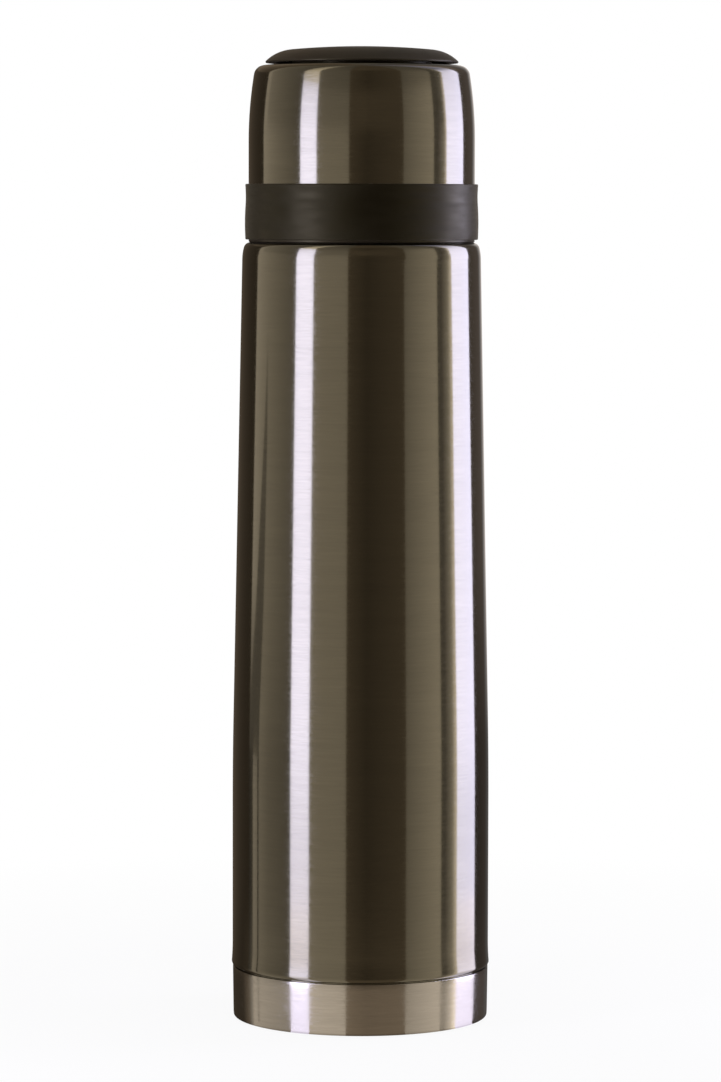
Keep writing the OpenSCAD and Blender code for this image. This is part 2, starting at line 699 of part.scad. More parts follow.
// Drinking liner with foot flange, thread zone and the boss that the disc snaps into
module cup_liner() color(black_plastic) {
    edge = 0.7;
    wet = concat([[liner_r + edge, shoulder_z], [liner_r, shoulder_z + edge], [liner_r, liner_thread_z]],
        arc(liner_end_r - liner_round, ceiling_z - liner_round, liner_round, 0, 90, 8), [[0, ceiling_z]]);
    dry = concat(
        [[foot_r, shoulder_z], [foot_r, band_z], [liner_out_r, band_z], [liner_out_r, liner_thread_z]],
        arc(liner_end_r - liner_round, ceiling_z - liner_round, liner_round + liner_t, 0, 90, 8),
        [[0, liner_top_z]]);
    revolve_between(dry, wet);
    difference() {
        ring(boss_r, cup_hole_r, liner_top_z, air_gap);
        translate([0, 0, liner_top_z]) cylinder(r = barb_r + 0.3, h = barb_top_z - liner_top_z);
    }
}

// Steel skin of the cup, set in by d
function cup_line(d) = concat([[cup_r - d, web_top_z]],
    arc(cup_r - crown_r, crown_z, crown_r - d, 0, crown_angle, 6),
    arc(cup_edge_cr, cup_edge_cz, cup_round - d, crown_angle + 12, 90, 7),
    [[cup_hole_r, cup_top_z - d]]);

module cup_shell() color(lacquer) revolve_between(cup_line(0), cup_line(cup_t));

// Domed disc on the cup's top: hollow below, with ring rib, spokes and snap fingers
module cup_disc() color(black_plastic) {
    rim_angle = asin((rim_land_z - edge_cy) / edge_curve);
    under_angle = asin((rim_under_z - edge_cy) / (edge_curve - top_wall));
    chamfer = 0.2;
    top_line = concat(arc(0, dome_cz, top_dome, 90, 90 - dome_angle, 6),
        arc(edge_cx, edge_cy, edge_curve, 90 - dome_angle - 4, rim_angle, 8),
        [[top_r, rim_under_z + chamfer], [top_r - chamfer, rim_under_z]]);
    under_line = concat([[0, disc_apex_z - top_wall], [top_flat_r, dome_edge_z - top_wall]],
        arc(edge_cx, edge_cy, edge_curve - top_wall, 90 - dome_angle - 8, under_angle, 4));
    revolve_between(top_line, under_line);
    spoke_t = 1.4;
    sunk = 0.6;
    ring(rib_ring_r + rib_ring_w, rib_ring_r, cup_top_z, top_h - top_wall - 0.2);
    snap_fingers();
    for (i = [0 : spoke_count - 1]) rotate(360 * (i + 0.5) / spoke_count)
        translate([finger_r - sunk, -spoke_t / 2, cup_top_z + top_gap])
            cube([rib_ring_r - finger_r + 2 * sunk, spoke_t, top_h - top_gap - top_wall]);
}

// Fingers that pass through the steel and catch under the liner's boss
module snap_fingers() {
    low = barb_top_z - barb_h;
    high = disc_apex_z - top_wall + 0.4;
    line = [[finger_in_r, low], [finger_r, low], [barb_r, barb_top_z - 0.3], [barb_r, barb_top_z],
        [finger_r, barb_top_z], [finger_r, high], [finger_in_r, high]];
    difference() {
        rotate_extrude() polygon(line);
        for (i = [0 : finger_count - 1]) rotate(360 * i / finger_count)
            translate([finger_in_r - 2, -finger_slot / 2, low - 1])
                cube([finger_wall + barb_out + 4, finger_slot, cup_top_z + top_gap - low + 1]);
    }
}

outer_shell();
inner_vessel();
reflective_foil();
vacuum_bottom();
getter();
vacuum_seal();
base_cup();
base_cushion();
stopper_gasket();
stopper_body();
stopper_cap();
stem_seal();
push_button();
button_spring();
valve_stem();
valve_disc();
valve_gasket();
valve_clip();
cup_band();
cup_liner();
cup_shell();
cup_disc();
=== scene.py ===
"""Looks of a steel vacuum flask with a pouring stopper and a screw-on cup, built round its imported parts."""

import math

import bmesh
import bpy
from bpy.props import FloatProperty, FloatVectorProperty, IntProperty, PointerProperty
from bpy.types import Operator, Panel, PropertyGroup
from mathutils import Matrix, Vector


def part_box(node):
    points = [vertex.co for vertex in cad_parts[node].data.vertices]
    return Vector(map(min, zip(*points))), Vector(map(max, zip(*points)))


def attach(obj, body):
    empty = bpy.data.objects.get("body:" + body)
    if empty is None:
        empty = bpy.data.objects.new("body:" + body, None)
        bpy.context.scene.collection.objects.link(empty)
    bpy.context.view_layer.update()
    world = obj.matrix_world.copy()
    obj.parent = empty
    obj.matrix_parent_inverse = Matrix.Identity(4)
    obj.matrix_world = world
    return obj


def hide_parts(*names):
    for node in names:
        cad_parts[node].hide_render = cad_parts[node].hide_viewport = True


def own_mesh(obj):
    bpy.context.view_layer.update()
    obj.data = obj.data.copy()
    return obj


bl_info = {
    "name": "Vacuum flask",
    "version": (1, 0, 0),
    "blender": (4, 5, 0),
    "location": "3D View > Sidebar > Flask",
    "description": "Builds the finished pieces of a vacuum flask, its materials and its studio",
    "category": "Object",
}

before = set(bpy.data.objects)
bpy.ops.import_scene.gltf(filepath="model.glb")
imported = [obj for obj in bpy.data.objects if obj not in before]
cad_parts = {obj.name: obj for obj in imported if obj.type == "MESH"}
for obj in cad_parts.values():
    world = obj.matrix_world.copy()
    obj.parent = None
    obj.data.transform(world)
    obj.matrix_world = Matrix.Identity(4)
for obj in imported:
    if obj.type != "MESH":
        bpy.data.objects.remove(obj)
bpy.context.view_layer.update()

MM = 0.001

# Steps round large and small pieces, the angle in degrees from which an edge is sharp, and the radius below
# which a point lies on the axis
ROUND_STEPS = 192
SMALL_STEPS = 96
SMOOTH_ANGLE = 28
ON_AXIS = 1e-6


# ---------------------------------------------------------------- Sizes and colours

def length(name, description, mm, high=1000.0):
    """A length property in metres, given in millimetres."""
    return FloatProperty(name=name, description=description, default=mm * MM, min=0, max=high * MM,
                         unit="LENGTH", precision=5)


def colour(name, description, rgb):
    """A linear colour property."""
    return FloatVectorProperty(name=name, description=description, default=rgb, min=0, max=1, size=3,
                               subtype="COLOR")


def share(name, description, value, low=0.0, high=1.0):
    """A plain number between two ends."""
    return FloatProperty(name=name, description=description, default=value, min=low, max=high,
                         subtype="FACTOR")


def count(name, description, number, low, high):
    """A whole number between two ends."""
    return IntProperty(name=name, description=description, default=number, min=low, max=high)


def angle(name, description, degrees):
    """An angle property in radians, given in degrees."""
    return FloatProperty(name=name, description=description, default=math.radians(degrees), subtype="ANGLE")


class FlaskBodySizes(PropertyGroup):
    """Sizes of the double wall, the neck and the base."""
    body_radius: length("Body radius", "Radius of the straight lower body", 41.7)
    shoulder_radius: length("Shoulder radius", "Radius at the top of the taper", 38.6)
    taper_start: length("Taper start", "Height at which the body starts to narrow", 84)
    taper_ease: length("Taper ease", "Half the length over which the taper sets in", 14)
    sheet: length("Sheet", "Thickness of the outer steel sheet", 0.6)
    shoulder_round: length("Shoulder edge", "Radius of the rounded shoulder edge", 2.2)
    shoulder_blend: length("Shoulder blend", "Radius between the taper and the shoulder edge", 15.5)
    blend_angle: angle("Blend angle", "Angle at which the blend meets the shoulder edge", 15)
    flare_out: length("Flare", "How far the lower edge of the body flares out", 0.27)
    flare_height: length("Flare height", "Height of the flare", 6.7)
    roll_radius: length("Lower roll", "Radius of the rolled lower edge", 1.2)
    spigot_radius: length("Spigot radius", "Radius of the end inside the base cap", 40.84)
    neck_radius: length("Neck radius", "Outer radius of the neck", 30.6)
    neck_fillet: length("Neck fillet", "Radius between the ledge and the neck", 1.2)
    rim_roll: length("Rim roll", "Radius of the outer half of the rolled rim", 2.6)
    mouth_radius: length("Mouth radius", "Radius of the mouth", 25.0)
    vessel_sheet: length("Inner sheet", "Thickness of the inner steel sheet", 0.5)
    vacuum_gap: length("Vacuum gap", "Width of the vacuum between the walls", 4.2)
    knuckle: length("Lower corner", "Radius of the vessel's lower corner", 10)
    dish_angle: angle("Dish angle", "Angle at which the lower corner meets the dished floor", 75)
    vessel_shoulder: length("Upper corner", "Radius of the vessel's upper corner", 10)
    neck_flare: length("Neck flare", "Radius of the flare below the neck", 4)
    neck_depth: length("Neck depth", "Depth of the straight neck below the ledge", 3.2)
    vessel_slope: angle("Vessel slope", "Slope of the vessel's shoulder", 60)
    seam: length("Seam", "Height of the seam between base cap and body", 0.3)
    cap_radius: length("Cap radius", "Radius of the base cap at its rim", 41.6)
    cap_foot_radius: length("Cap foot radius", "Radius of the base cap above its foot", 41.4)
    cap_sheet: length("Cap sheet", "Thickness of the base cap", 0.5)
    cap_round: length("Cap edge", "Radius of the base cap's lower edge", 1.0)
    cap_lip: length("Cap lip", "Rounding of the base cap's cut edge", 0.2)
    foot_ring: length("Foot ring", "Inner radius of the flat foot ring", 33.1)
    panel_height: length("Panel height", "Height of the panel inside the foot ring", 1.2)
    panel_slope: length("Panel slope", "Width of the slope up to the panel", 2)


class FlaskStopperSizes(PropertyGroup):
    """Sizes of the stopper, its button and its valve."""
    plug_radius: length("Plug radius", "Radius of the plug", 23.6)
    plug_inner: length("Plug inside", "Inner radius of the plug", 20.6)
    plug_lead: length("Plug lead", "Chamfer at the plug's lower end", 1.2)
    head_radius: length("Head radius", "Radius of the stopper's head", 29.3)
    lip_out: length("Lip", "How far the pouring lip stands out", 0.7)
    lip_height: length("Lip height", "Height of the pouring lip", 2.4)
    collar_inner: length("Collar inside", "Inner radius of the collar", 26.9)
    ledge: length("Cap ledge", "Width of the ledge that carries the cap", 1.3)
    head_floor: length("Head floor", "Thickness of the head's floor", 2.2)
    cap_thickness: length("Cap thickness", "Thickness of the stopper's cap", 2.2)
    flutes: count("Flutes", "Number of grip flutes", 28, 8, 60)
    flute_depth: length("Flute depth", "Depth of the grip flutes", 0.55)
    flute_radius: length("Flute radius", "Radius of the grip flutes", 1.5)
    valve_radius: length("Valve radius", "Radius of the valve opening", 12.5)
    seat: length("Seat", "Thickness of the valve seat", 2.2)
    ribs: count("Ribs", "Number of ribs on the stem guide", 4, 2, 8)
    rib_thickness: length("Rib thickness", "Thickness of the ribs", 1.8)
    guide_rise: length("Guide rise", "Height of the stem guide above the seat", 6)
    guide_height: length("Guide height", "Height of the stem guide", 9)
    guide_wall: length("Guide wall", "Wall of the stem guide", 2.1)
    button_radius: length("Button radius", "Radius of the push button", 13.1)
    button_wall: length("Button wall", "Wall of the push button", 1.8)
    button_edge: length("Button edge", "Rounding of the button's upper edge", 0.9)
    button_dome: length("Button dome", "Rise of the button's domed top", 0.8)
    dish_radius: length("Thumb dish", "Radius of the shallow dish in the button", 9.0)
    dish_depth: length("Dish depth", "Depth of the shallow dish", 0.45)
    socket_wall: length("Socket wall", "Wall of the stem socket", 2.2)
    socket_depth: length("Socket depth", "Depth of the stem socket", 6)
    stem_radius: length("Stem radius", "Radius of the valve stem", 2.6)
    stem_gap: length("Stem gap", "Clearance round the stem", 0.3)
    stem_groove: length("Stem groove", "Depth of the groove for the clip", 0.6)
    valve_disc: length("Valve disc", "Radius of the valve disc", 15.5)
    hub_wall: length("Hub wall", "Wall of the valve disc's hub", 2.2)
    spring_wire: length("Spring wire", "Radius of the spring's wire", 0.45)
    spring_turns: count("Spring turns", "Turns with the closed ends", 7, 4, 12)
    button_travel: length("Button travel", "How far the button goes down", 4.0)


class FlaskCupSizes(PropertyGroup):
    """Sizes of the drinking cup, its band and its disc."""
    cup_radius: length("Cup radius", "Radius of the cup's steel", 36.54)
    sheet: length("Sheet", "Thickness of the cup's steel", 0.5)
    crown_height: length("Crown height", "Length over which the side curves in", 24.3)
    crown_radius: length("Crown radius", "Radius of the long curve in the side", 135)
    edge_radius: length("Edge radius", "Radius of the cup's upper edge", 3.4)
    hole_radius: length("Hole radius", "Radius of the hole in the steel top", 9.2)
    liner_radius: length("Liner radius", "Inner radius of the liner", 32.1)
    liner_wall: length("Liner wall", "Wall of the liner", 1.8)
    liner_draft: length("Liner draft", "How much the liner narrows", 0.9)
    liner_round: length("Liner corner", "Radius of the liner's inside corner", 6)
    thread_zone: length("Thread zone", "Height of the part that carries the thread", 17)
    air_gap: length("Air gap", "Gap between the liner and the steel top", 3.4)
    liner_lead: length("Liner lead", "Chamfer at the liner's lower edge", 0.7)
    foot_inset: length("Foot inset", "How far the foot flange stands in from the band", 1.1)
    boss_wall: length("Boss wall", "Wall of the boss round the snap fingers", 2.4)
    catch_height: length("Catch height", "Height of the catch above the liner", 1.2)
    band_out: length("Band", "How far the band stands out from the steel", 1.06)
    band_swell: length("Band swell", "Swell of the band's lower half", 0.14)
    band_waist: length("Band waist", "Depth of the band's waist", 0.16)
    band_split: share("Band split", "Share of the band's height below its waist", 0.56)
    band_round: length("Band edge", "Radius of the band's edges", 0.35)
    band_fit: length("Band fit", "Clearance round the band's inside", 0.05)
    disc_radius: length("Disc radius", "Radius of the disc on the cup's top", 31.1)
    disc_edge: length("Disc edge", "Width of the disc's rounded edge", 7.9)
    disc_land: length("Disc land", "Height of the disc's upright edge", 0.5)
    disc_gap: length("Disc gap", "Gap between the disc and the steel top", 0.8)
    disc_dome: length("Disc dome", "Radius of curvature of the disc's middle", 252)
    disc_wall: length("Disc wall", "Wall of the disc", 2.2)
    rib_ring: length("Ring rib", "Inner radius of the ring rib", 21)
    rib_width: length("Rib width", "Width of the ring rib", 1.6)
    spokes: count("Spokes", "Number of spokes under the disc", 8, 2, 24)
    spoke_thickness: length("Spoke thickness", "Thickness of the spokes", 1.4)
    fingers: count("Fingers", "Number of snap fingers", 4, 2, 8)
    finger_radius: length("Finger radius", "Outer radius of the snap fingers", 8.7)
    finger_wall: length("Finger wall", "Wall of the snap fingers", 1.8)
    finger_slot: length("Finger slot", "Width of the slots between the fingers", 2.4)
    barb_out: length("Barb", "How far the snap barbs stand out", 1.1)
    barb_height: length("Barb height", "Height of the snap barbs", 0.9)


class FlaskThreadSizes(PropertyGroup):
    """Sizes of the screw threads, which all share one lead."""
    lead: length("Lead", "Rise of the thread in one turn", 12)
    starts: count("Starts", "Number of thread starts", 2, 1, 4)
    root_width: length("Root width", "Width of a ridge at its root", 2.3)
    crest_width: length("Crest width", "Width of a ridge at its crest", 1.0)
    neck_ridge: length("Neck ridge", "Height of the ridges on the neck", 1.05)
    liner_ridge: length("Liner ridge", "Height of the ridges in the cup", 1.05)
    plug_ridge: length("Plug ridge", "Height of the ridges on the plug", 0.95)
    mouth_ridge: length("Mouth ridge", "Height of the ridges in the mouth", 0.8)
    sunk: length("Sunk", "How far a ridge is sunk in its wall", 0.25)
    turns: share("Turns", "Turns that each ridge runs", 0.8, 0.2, 3.0)


class FlaskFinishes(PropertyGroup):
    """Colours of the finishes, linear."""
    lacquer: colour("Lacquered steel", "Steel seen through the satin lacquer", (0.205, 0.194, 0.145))
    steel: colour("Bare steel", "Brushed stainless steel", (0.60, 0.585, 0.545))
    band: colour("Band plastic", "Matte plastic of the grip band", (0.0020, 0.0015, 0.0010))
    disc: colour("Disc plastic", "Satin plastic of the disc and the liner", (0.017, 0.0135, 0.0105))
    stopper: colour("Stopper plastic", "Plastic of the stopper", (0.013, 0.011, 0.009))
    silicone: colour("Silicone", "Silicone of the seals", (0.72, 0.71, 0.67))
    foam: colour("Foam rubber", "Foamed rubber of the cushion ring", (0.035, 0.035, 0.035))
    foil: colour("Foil", "Reflective foil", (0.90, 0.56, 0.38))
    getter: colour("Getter metal", "Sintered metal of the getter", (0.12, 0.12, 0.13))
    glass: colour("Seal glass", "Fused glass bead", (0.28, 0.40, 0.33))
    spring: colour("Spring steel", "Drawn spring wire", (0.62, 0.62, 0.64))


class FlaskStudio(PropertyGroup):
    """Camera, cards and light of the studio."""
    camera_distance: length("Camera distance", "Distance from the flask's axis to the camera", 1500, 5000)
    camera_height: length("Camera height", "Height of the camera", 264.05)
    camera_side: length("Camera side", "How far the camera stands to the left of the axis", 0.18)
    camera_pitch: angle("Camera pitch", "How far the camera looks down", 4.15)
    camera_roll: angle("Camera roll", "Turn of the camera about its own axis", 0.11)
    lens: FloatProperty(name="Lens", description="Focal length", default=154.05, min=20, max=400,
                        unit="CAMERA")
    ring: length("Card ring", "Radius of the ring of cards", 300)
    split: length("Card split", "Height at which the cards' edges step sideways", 259)
    shoulder: length("Card shoulder", "Height from which the cards are a little dimmer", 300)
    card_top: length("Card top", "Height of the cards' upper edge", 375)
    lid_height: length("Lid height", "Height of the overhead card", 900)
    world_light: share("World light", "Plain light from all round", 0.5, 0, 2)
    top_light_size: length("Top light", "Width of the lamp overhead", 900, 5000)
    top_light_height: length("Top light height", "Height of the lamp overhead", 1100, 5000)
    top_light_power: FloatProperty(name="Top light power", description="Power of the lamp overhead",
                                   default=3.0, min=0, max=100, unit="POWER")
    ceiling: share("Ceiling tone", "Tone of the overhead card", 0.17)
    white_share: share("White share", "Share of the floor's white near the flask that takes no shadow", 0.9)


# ---------------------------------------------------------------- Shapes

def polar(r, turn, z):
    """The point at a radius, a turn about the Z axis in radians and a height."""
    return r * math.cos(turn), r * math.sin(turn), z


def arc(centre_r, centre_z, radius, start, end, steps):
    """Points of an outline along an arc, from start to end in degrees."""
    turns = [math.radians(start + (end - start) * i / steps) for i in range(steps + 1)]
    return [(centre_r + radius * math.cos(turn), centre_z + radius * math.sin(turn)) for turn in turns]


def spread(points, step=5 * MM):
    """The same line with points added wherever a stretch is longer than step."""
    line = [points[0]]
    for (r0, z0), (r1, z1) in zip(points, points[1:]):
        parts = max(1, math.ceil(math.hypot(r1 - r0, z1 - z0) / step))
        line += [(r0 + (r1 - r0) * i / parts, z0 + (z1 - z0) * i / parts) for i in range(1, parts + 1)]
    return line


def join_loops(bm, lower, upper):
    """Faces between two rings of vertices, either of which may be a single point on the axis."""
    steps = max(len(lower), len(upper))
    if steps == 1:
        return
    for k in range(steps):
        n = (k + 1) % steps
        if len(lower) == 1:
            bm.faces.new((lower[0], upper[n], upper[k]))
        elif len(upper) == 1:
            bm.faces.new((lower[k], lower[n], upper[0]))
        else:
            bm.faces.new((lower[k], lower[n], upper[n], upper[k]))


def turned(bm, outline, steps, shape=None):
    """A closed solid of revolution from a closed outline of (radius, height) points."""
    turns = [2 * math.pi * k / steps for k in range(steps)]
    loops = []
    for r, z in outline:
        if r < ON_AXIS:
            loops.append([bm.verts.new((0, 0, z))])
        else:
            loops.append([bm.verts.new(polar(shape(turn, r, z) if shape else r, turn, z)) for turn in turns])
    for lower, upper in zip(loops, loops[1:] + loops[:1]):
        join_loops(bm, lower, upper)


def tube(bm, inner, outer, low_z, high_z, steps):
    """A plain round wall between two radii."""
    turned(bm, [(inner, low_z), (outer, low_z), (outer, high_z), (inner, high_z)], steps)


def block(bm, x, y, z, turn):
    """A box between pairs of x, y and z, turned about the Z axis."""
    c, s = math.cos(turn), math.sin(turn)
    corners = [bm.verts.new((px * c - py * s, px * s + py * c, pz)) for pz in z for py in y for px in x]
    for face in ((0, 2, 3, 1), (4, 5, 7, 6), (0, 1, 5, 4), (2, 6, 7, 3), (0, 4, 6, 2), (1, 3, 7, 5)):
        bm.faces.new([corners[i] for i in face])


def webs(bm, number, thickness, inner, outer, low_z, high_z):
    """Flat webs between two radii, evenly round the axis."""
    half = thickness / 2
    for i in range(number):
        block(bm, (inner, outer), (-half, half), (low_z, high_z), 2 * math.pi * (i + 0.5) / number)


def join_sections(bm, sections):
    """Walls between equal loops one after another, and a face at each end."""
    for here, there in zip(sections, sections[1:]):
        for i in range(len(here)):
            n = (i + 1) % len(here)
            bm.faces.new((here[i], here[n], there[n], there[i]))
    bm.faces.new(sections[0][::-1])
    bm.faces.new(sections[-1])


def turned_part(bm, outline, start, end, steps):
    """A closed solid from an outline swept only from one angle to another, both in radians."""
    turns = [start + (end - start) * k / steps for k in range(steps + 1)]
    join_sections(bm, [[bm.verts.new(polar(r, turn, z)) for r, z in outline] for turn in turns])


def piece(name, bm, body, slot, replaces=()):
    """Turns a bmesh into a smooth-shaded object in its slot's finish, which rides on a body."""
    bmesh.ops.recalc_face_normals(bm, faces=bm.faces)
    for face in bm.faces:
        face.smooth = True
    mesh = bpy.data.meshes.new(name)
    bm.to_mesh(mesh)
    bm.free()
    mesh.set_sharp_from_angle(angle=math.radians(SMOOTH_ANGLE))
    mesh.materials.append(finish(slot))
    made = bpy.data.objects.new(name, mesh)
    bpy.context.scene.collection.objects.link(made)
    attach(made, body)
    if replaces:
        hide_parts(*replaces)
    return made


def lathe(name, outline, body, slot, replaces=(), steps=ROUND_STEPS):
    """A turned piece from one closed outline."""
    bm = bmesh.new()
    turned(bm, outline, steps)
    return piece(name, bm, body, slot, replaces)


def low(node):
    """Height of a CAD node's lowest point."""
    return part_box(node)[0].z


def high(node):
    """Height of a CAD node's highest point."""
    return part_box(node)[1].z


def smooth_step(t):
    """Eases from 0 to 1."""
    t = min(max(t, 0.0), 1.0)
    return t * t * (3 - 2 * t)


# ---------------------------------------------------------------- Materials

# Ends between which a noise value nearly always lies
NOISE_LOW, NOISE_HIGH = 0.3, 0.7

# Grain that runs round the axis, in cells a metre along it and across it
FINE_GRAIN = (90, 2600)
SHORT_GRAIN = (400, 3000)
BROAD_GRAIN = (25, 260)
RUBBED_GRAIN = (60, 420)
BRUSH_DEPTH = 0.013 * MM

PLASTIC_TINT = (1.0, 0.9, 0.53, 1)
DUST_TINT = (1.0, 0.86, 0.62, 1)


def empty_tree(holder, output_type="ShaderNodeOutputMaterial"):
    """The cleared node tree of a material or a world, and its output's surface socket."""
    holder.use_nodes = True
    tree = holder.node_tree
    tree.nodes.clear()
    return tree, tree.nodes.new(output_type).inputs["Surface"]


def new_material(name, settings):
    """A material with a principled shader, and that shader's sockets set as given."""
    material = bpy.data.materials.new(name)
    tree, surface = empty_tree(material)
    shader = tree.nodes.new("ShaderNodeBsdfPrincipled")
    for socket, value in settings.items():
        shader.inputs[socket].default_value = value
    tree.links.new(shader.outputs["BSDF"], surface)
    return material, tree, shader


def maths(tree, operation, *values):
    """A math node on sockets or numbers."""
    node = tree.nodes.new("ShaderNodeMath")
    node.operation = operation
    for socket, value in zip(node.inputs, values):
        if isinstance(value, (int, float)):
            socket.default_value = value
        else:
            tree.links.new(value, socket)
    return node.outputs[0]


def weighed(tree, *parts):
    """The sum of values, each given with its weight."""
    total, *others = [maths(tree, "MULTIPLY", value, weight) for value, weight in parts]
    for other in others:
        total = maths(tree, "ADD", total, other)
    return total


def span(tree, value, low_value, high_value, start=NOISE_LOW, end=NOISE_HIGH):
    """Maps what lies between start and end to what lies between two other numbers."""
    node = tree.nodes.new("ShaderNodeMapRange")
    node.inputs["From Min"].default_value = start
    node.inputs["From Max"].default_value = end
    node.inputs["To Min"].default_value = low_value
    node.inputs["To Max"].default_value = high_value
    tree.links.new(value, node.inputs["Value"])
    return node.outputs["Result"]


def noise(tree, vector, scale, detail=2.0, roughness=0.5):
    """A noise texture's value."""
    node = tree.nodes.new("ShaderNodeTexNoise")
    node.inputs["Scale"].default_value = scale
    node.inputs["Detail"].default_value = detail
    node.inputs["Roughness"].default_value = roughness
    tree.links.new(vector, node.inputs["Vector"])
    return node.outputs["Fac"]


def object_place(tree):
    """The surface point in the piece's own frame, in metres."""
    return tree.nodes.new("ShaderNodeTexCoord").outputs["Object"]


def round_noise(tree, grain, detail=2.0, roughness=0.5):
    """Noise drawn out round the axis: slow along the groove, fast up a wall and out along a face."""
    along, across = grain
    parts = tree.nodes.new("ShaderNodeSeparateXYZ")
    tree.links.new(object_place(tree), parts.inputs[0])
    x, y, z = parts.outputs
    radius = maths(tree, "SQRT", weighed(tree, (x, x), (y, y)))
    joined = tree.nodes.new("ShaderNodeCombineXYZ")
    tree.links.new(maths(tree, "MULTIPLY", x, along), joined.inputs[0])
    tree.links.new(maths(tree, "MULTIPLY", y, along), joined.inputs[1])
    tree.links.new(maths(tree, "MULTIPLY", maths(tree, "SUBTRACT", z, radius), across), joined.inputs[2])
    return noise(tree, joined.outputs[0], 1.0, detail, roughness)


def tinted(tree, shader, rgb, value, spread_share):
    """Base colour that varies a little in brightness with a noise value."""
    mix = tree.nodes.new("ShaderNodeMix")
    mix.data_type = "RGBA"
    mix.inputs["A"].default_value = (*[c * (1 - spread_share) for c in rgb], 1)
    mix.inputs["B"].default_value = (*[min(1, c * (1 + spread_share)) for c in rgb], 1)
    tree.links.new(span(tree, value, 0, 1), mix.inputs["Factor"])
    tree.links.new(mix.outputs["Result"], shader.inputs["Base Color"])


def roughened(tree, shader, value, smoothest, roughest, start=NOISE_LOW, end=NOISE_HIGH):
    """Roughness that varies with a noise value."""
    tree.links.new(span(tree, value, smoothest, roughest, start, end), shader.inputs["Roughness"])


def bumped(tree, shader, value, strength, depth):
    """Bump on the shader's normal."""
    bump = tree.nodes.new("ShaderNodeBump")
    bump.inputs["Strength"].default_value = strength
    bump.inputs["Distance"].default_value = depth
    tree.links.new(value, bump.inputs["Height"])
    tree.links.new(bump.outputs["Normal"], shader.inputs["Normal"])


def brushed(name, rgb, rough, stretch, coat, tone_spread):
    """Steel brushed round its axis: grain in colour, gloss and bump, and a highlight drawn up the wall."""
    material, tree, shader = new_material(name, {
        "Metallic": 1.0, "Anisotropic": stretch, "Anisotropic Rotation": 0.25,
        "Coat Weight": coat, "Coat Roughness": 0.06, "Coat IOR": 1.5,
    })
    fine = round_noise(tree, FINE_GRAIN, 3.0, 0.6)
    short = round_noise(tree, SHORT_GRAIN)
    broad = round_noise(tree, BROAD_GRAIN)
    cloud = noise(tree, object_place(tree), 38)
    tangent = tree.nodes.new("ShaderNodeTangent")
    tangent.direction_type = "RADIAL"
    tangent.axis = "Z"
    tree.links.new(tangent.outputs["Tangent"], shader.inputs["Tangent"])
    tinted(tree, shader, rgb, weighed(tree, (broad, 0.3), (fine, 0.55), (cloud, 0.15)), tone_spread)
    roughened(tree, shader, short, rough * 0.6, rough * 1.5)
    bumped(tree, shader, weighed(tree, (fine, 1), (short, 2)), 0.35, BRUSH_DEPTH)
    return material


def moulded(name, rgb, rough, texture_depth, bloom=0.0, rub=0.1):
    """Moulded plastic: fine spark texture, faint clouding, gloss rubbed round the axis and a dusty bloom."""
    material, tree, shader = new_material(name, {
        "Specular Tint": PLASTIC_TINT, "Specular IOR Level": 0.45,
        "Sheen Weight": bloom, "Sheen Roughness": 0.4, "Sheen Tint": DUST_TINT,
    })
    place = object_place(tree)
    handled = weighed(tree, (noise(tree, place, 28), 0.5), (round_noise(tree, RUBBED_GRAIN), 0.5))
    tinted(tree, shader, rgb, noise(tree, place, 110, 3.0), 0.12)
    roughened(tree, shader, handled, rough * (1 - rub), rough * (1 + rub), 0.35, 0.65)
    bumped(tree, shader, noise(tree, place, 4200, 2.0, 0.6), 0.5, texture_depth)
    return material


def soft_rubber(name, rgb, rough, see_through, cell_scale):
    """Silicone or foamed rubber, with a little light carried below its surface."""
    material, tree, shader = new_material(name, {
        "Subsurface Weight": see_through, "Subsurface Scale": 2 * MM, "Subsurface Radius": (1.0, 0.9, 0.8),
    })
    cells = noise(tree, object_place(tree), cell_scale)
    tinted(tree, shader, rgb, cells, 0.06)
    roughened(tree, shader, cells, rough * 0.9, min(1, rough * 1.15))
    bumped(tree, shader, cells, 0.3, 0.02 * MM)
    return material


def plain_metal(name, rgb, rough, grain_scale, grain_depth):
    """Foil, wire or sintered metal with an even grain."""
    material, tree, shader = new_material(name, {"Metallic": 1.0})
    grain = noise(tree, object_place(tree), grain_scale, 3.0, 0.6)
    tinted(tree, shader, rgb, grain, 0.08)
    roughened(tree, shader, grain, rough * 0.8, rough * 1.2)
    bumped(tree, shader, grain, 0.5, grain_depth)
    return material


def fused_glass(name, rgb):
    """Opaque green-grey solder glass with a fired skin."""
    material, tree, shader = new_material(name, {"Coat Weight": 0.5})
    swirl = noise(tree, object_place(tree), 700)
    tinted(tree, shader, rgb, swirl, 0.15)
    roughened(tree, shader, swirl, 0.08, 0.2)
    bumped(tree, shader, swirl, 0.2, 0.05 * MM)
    return material


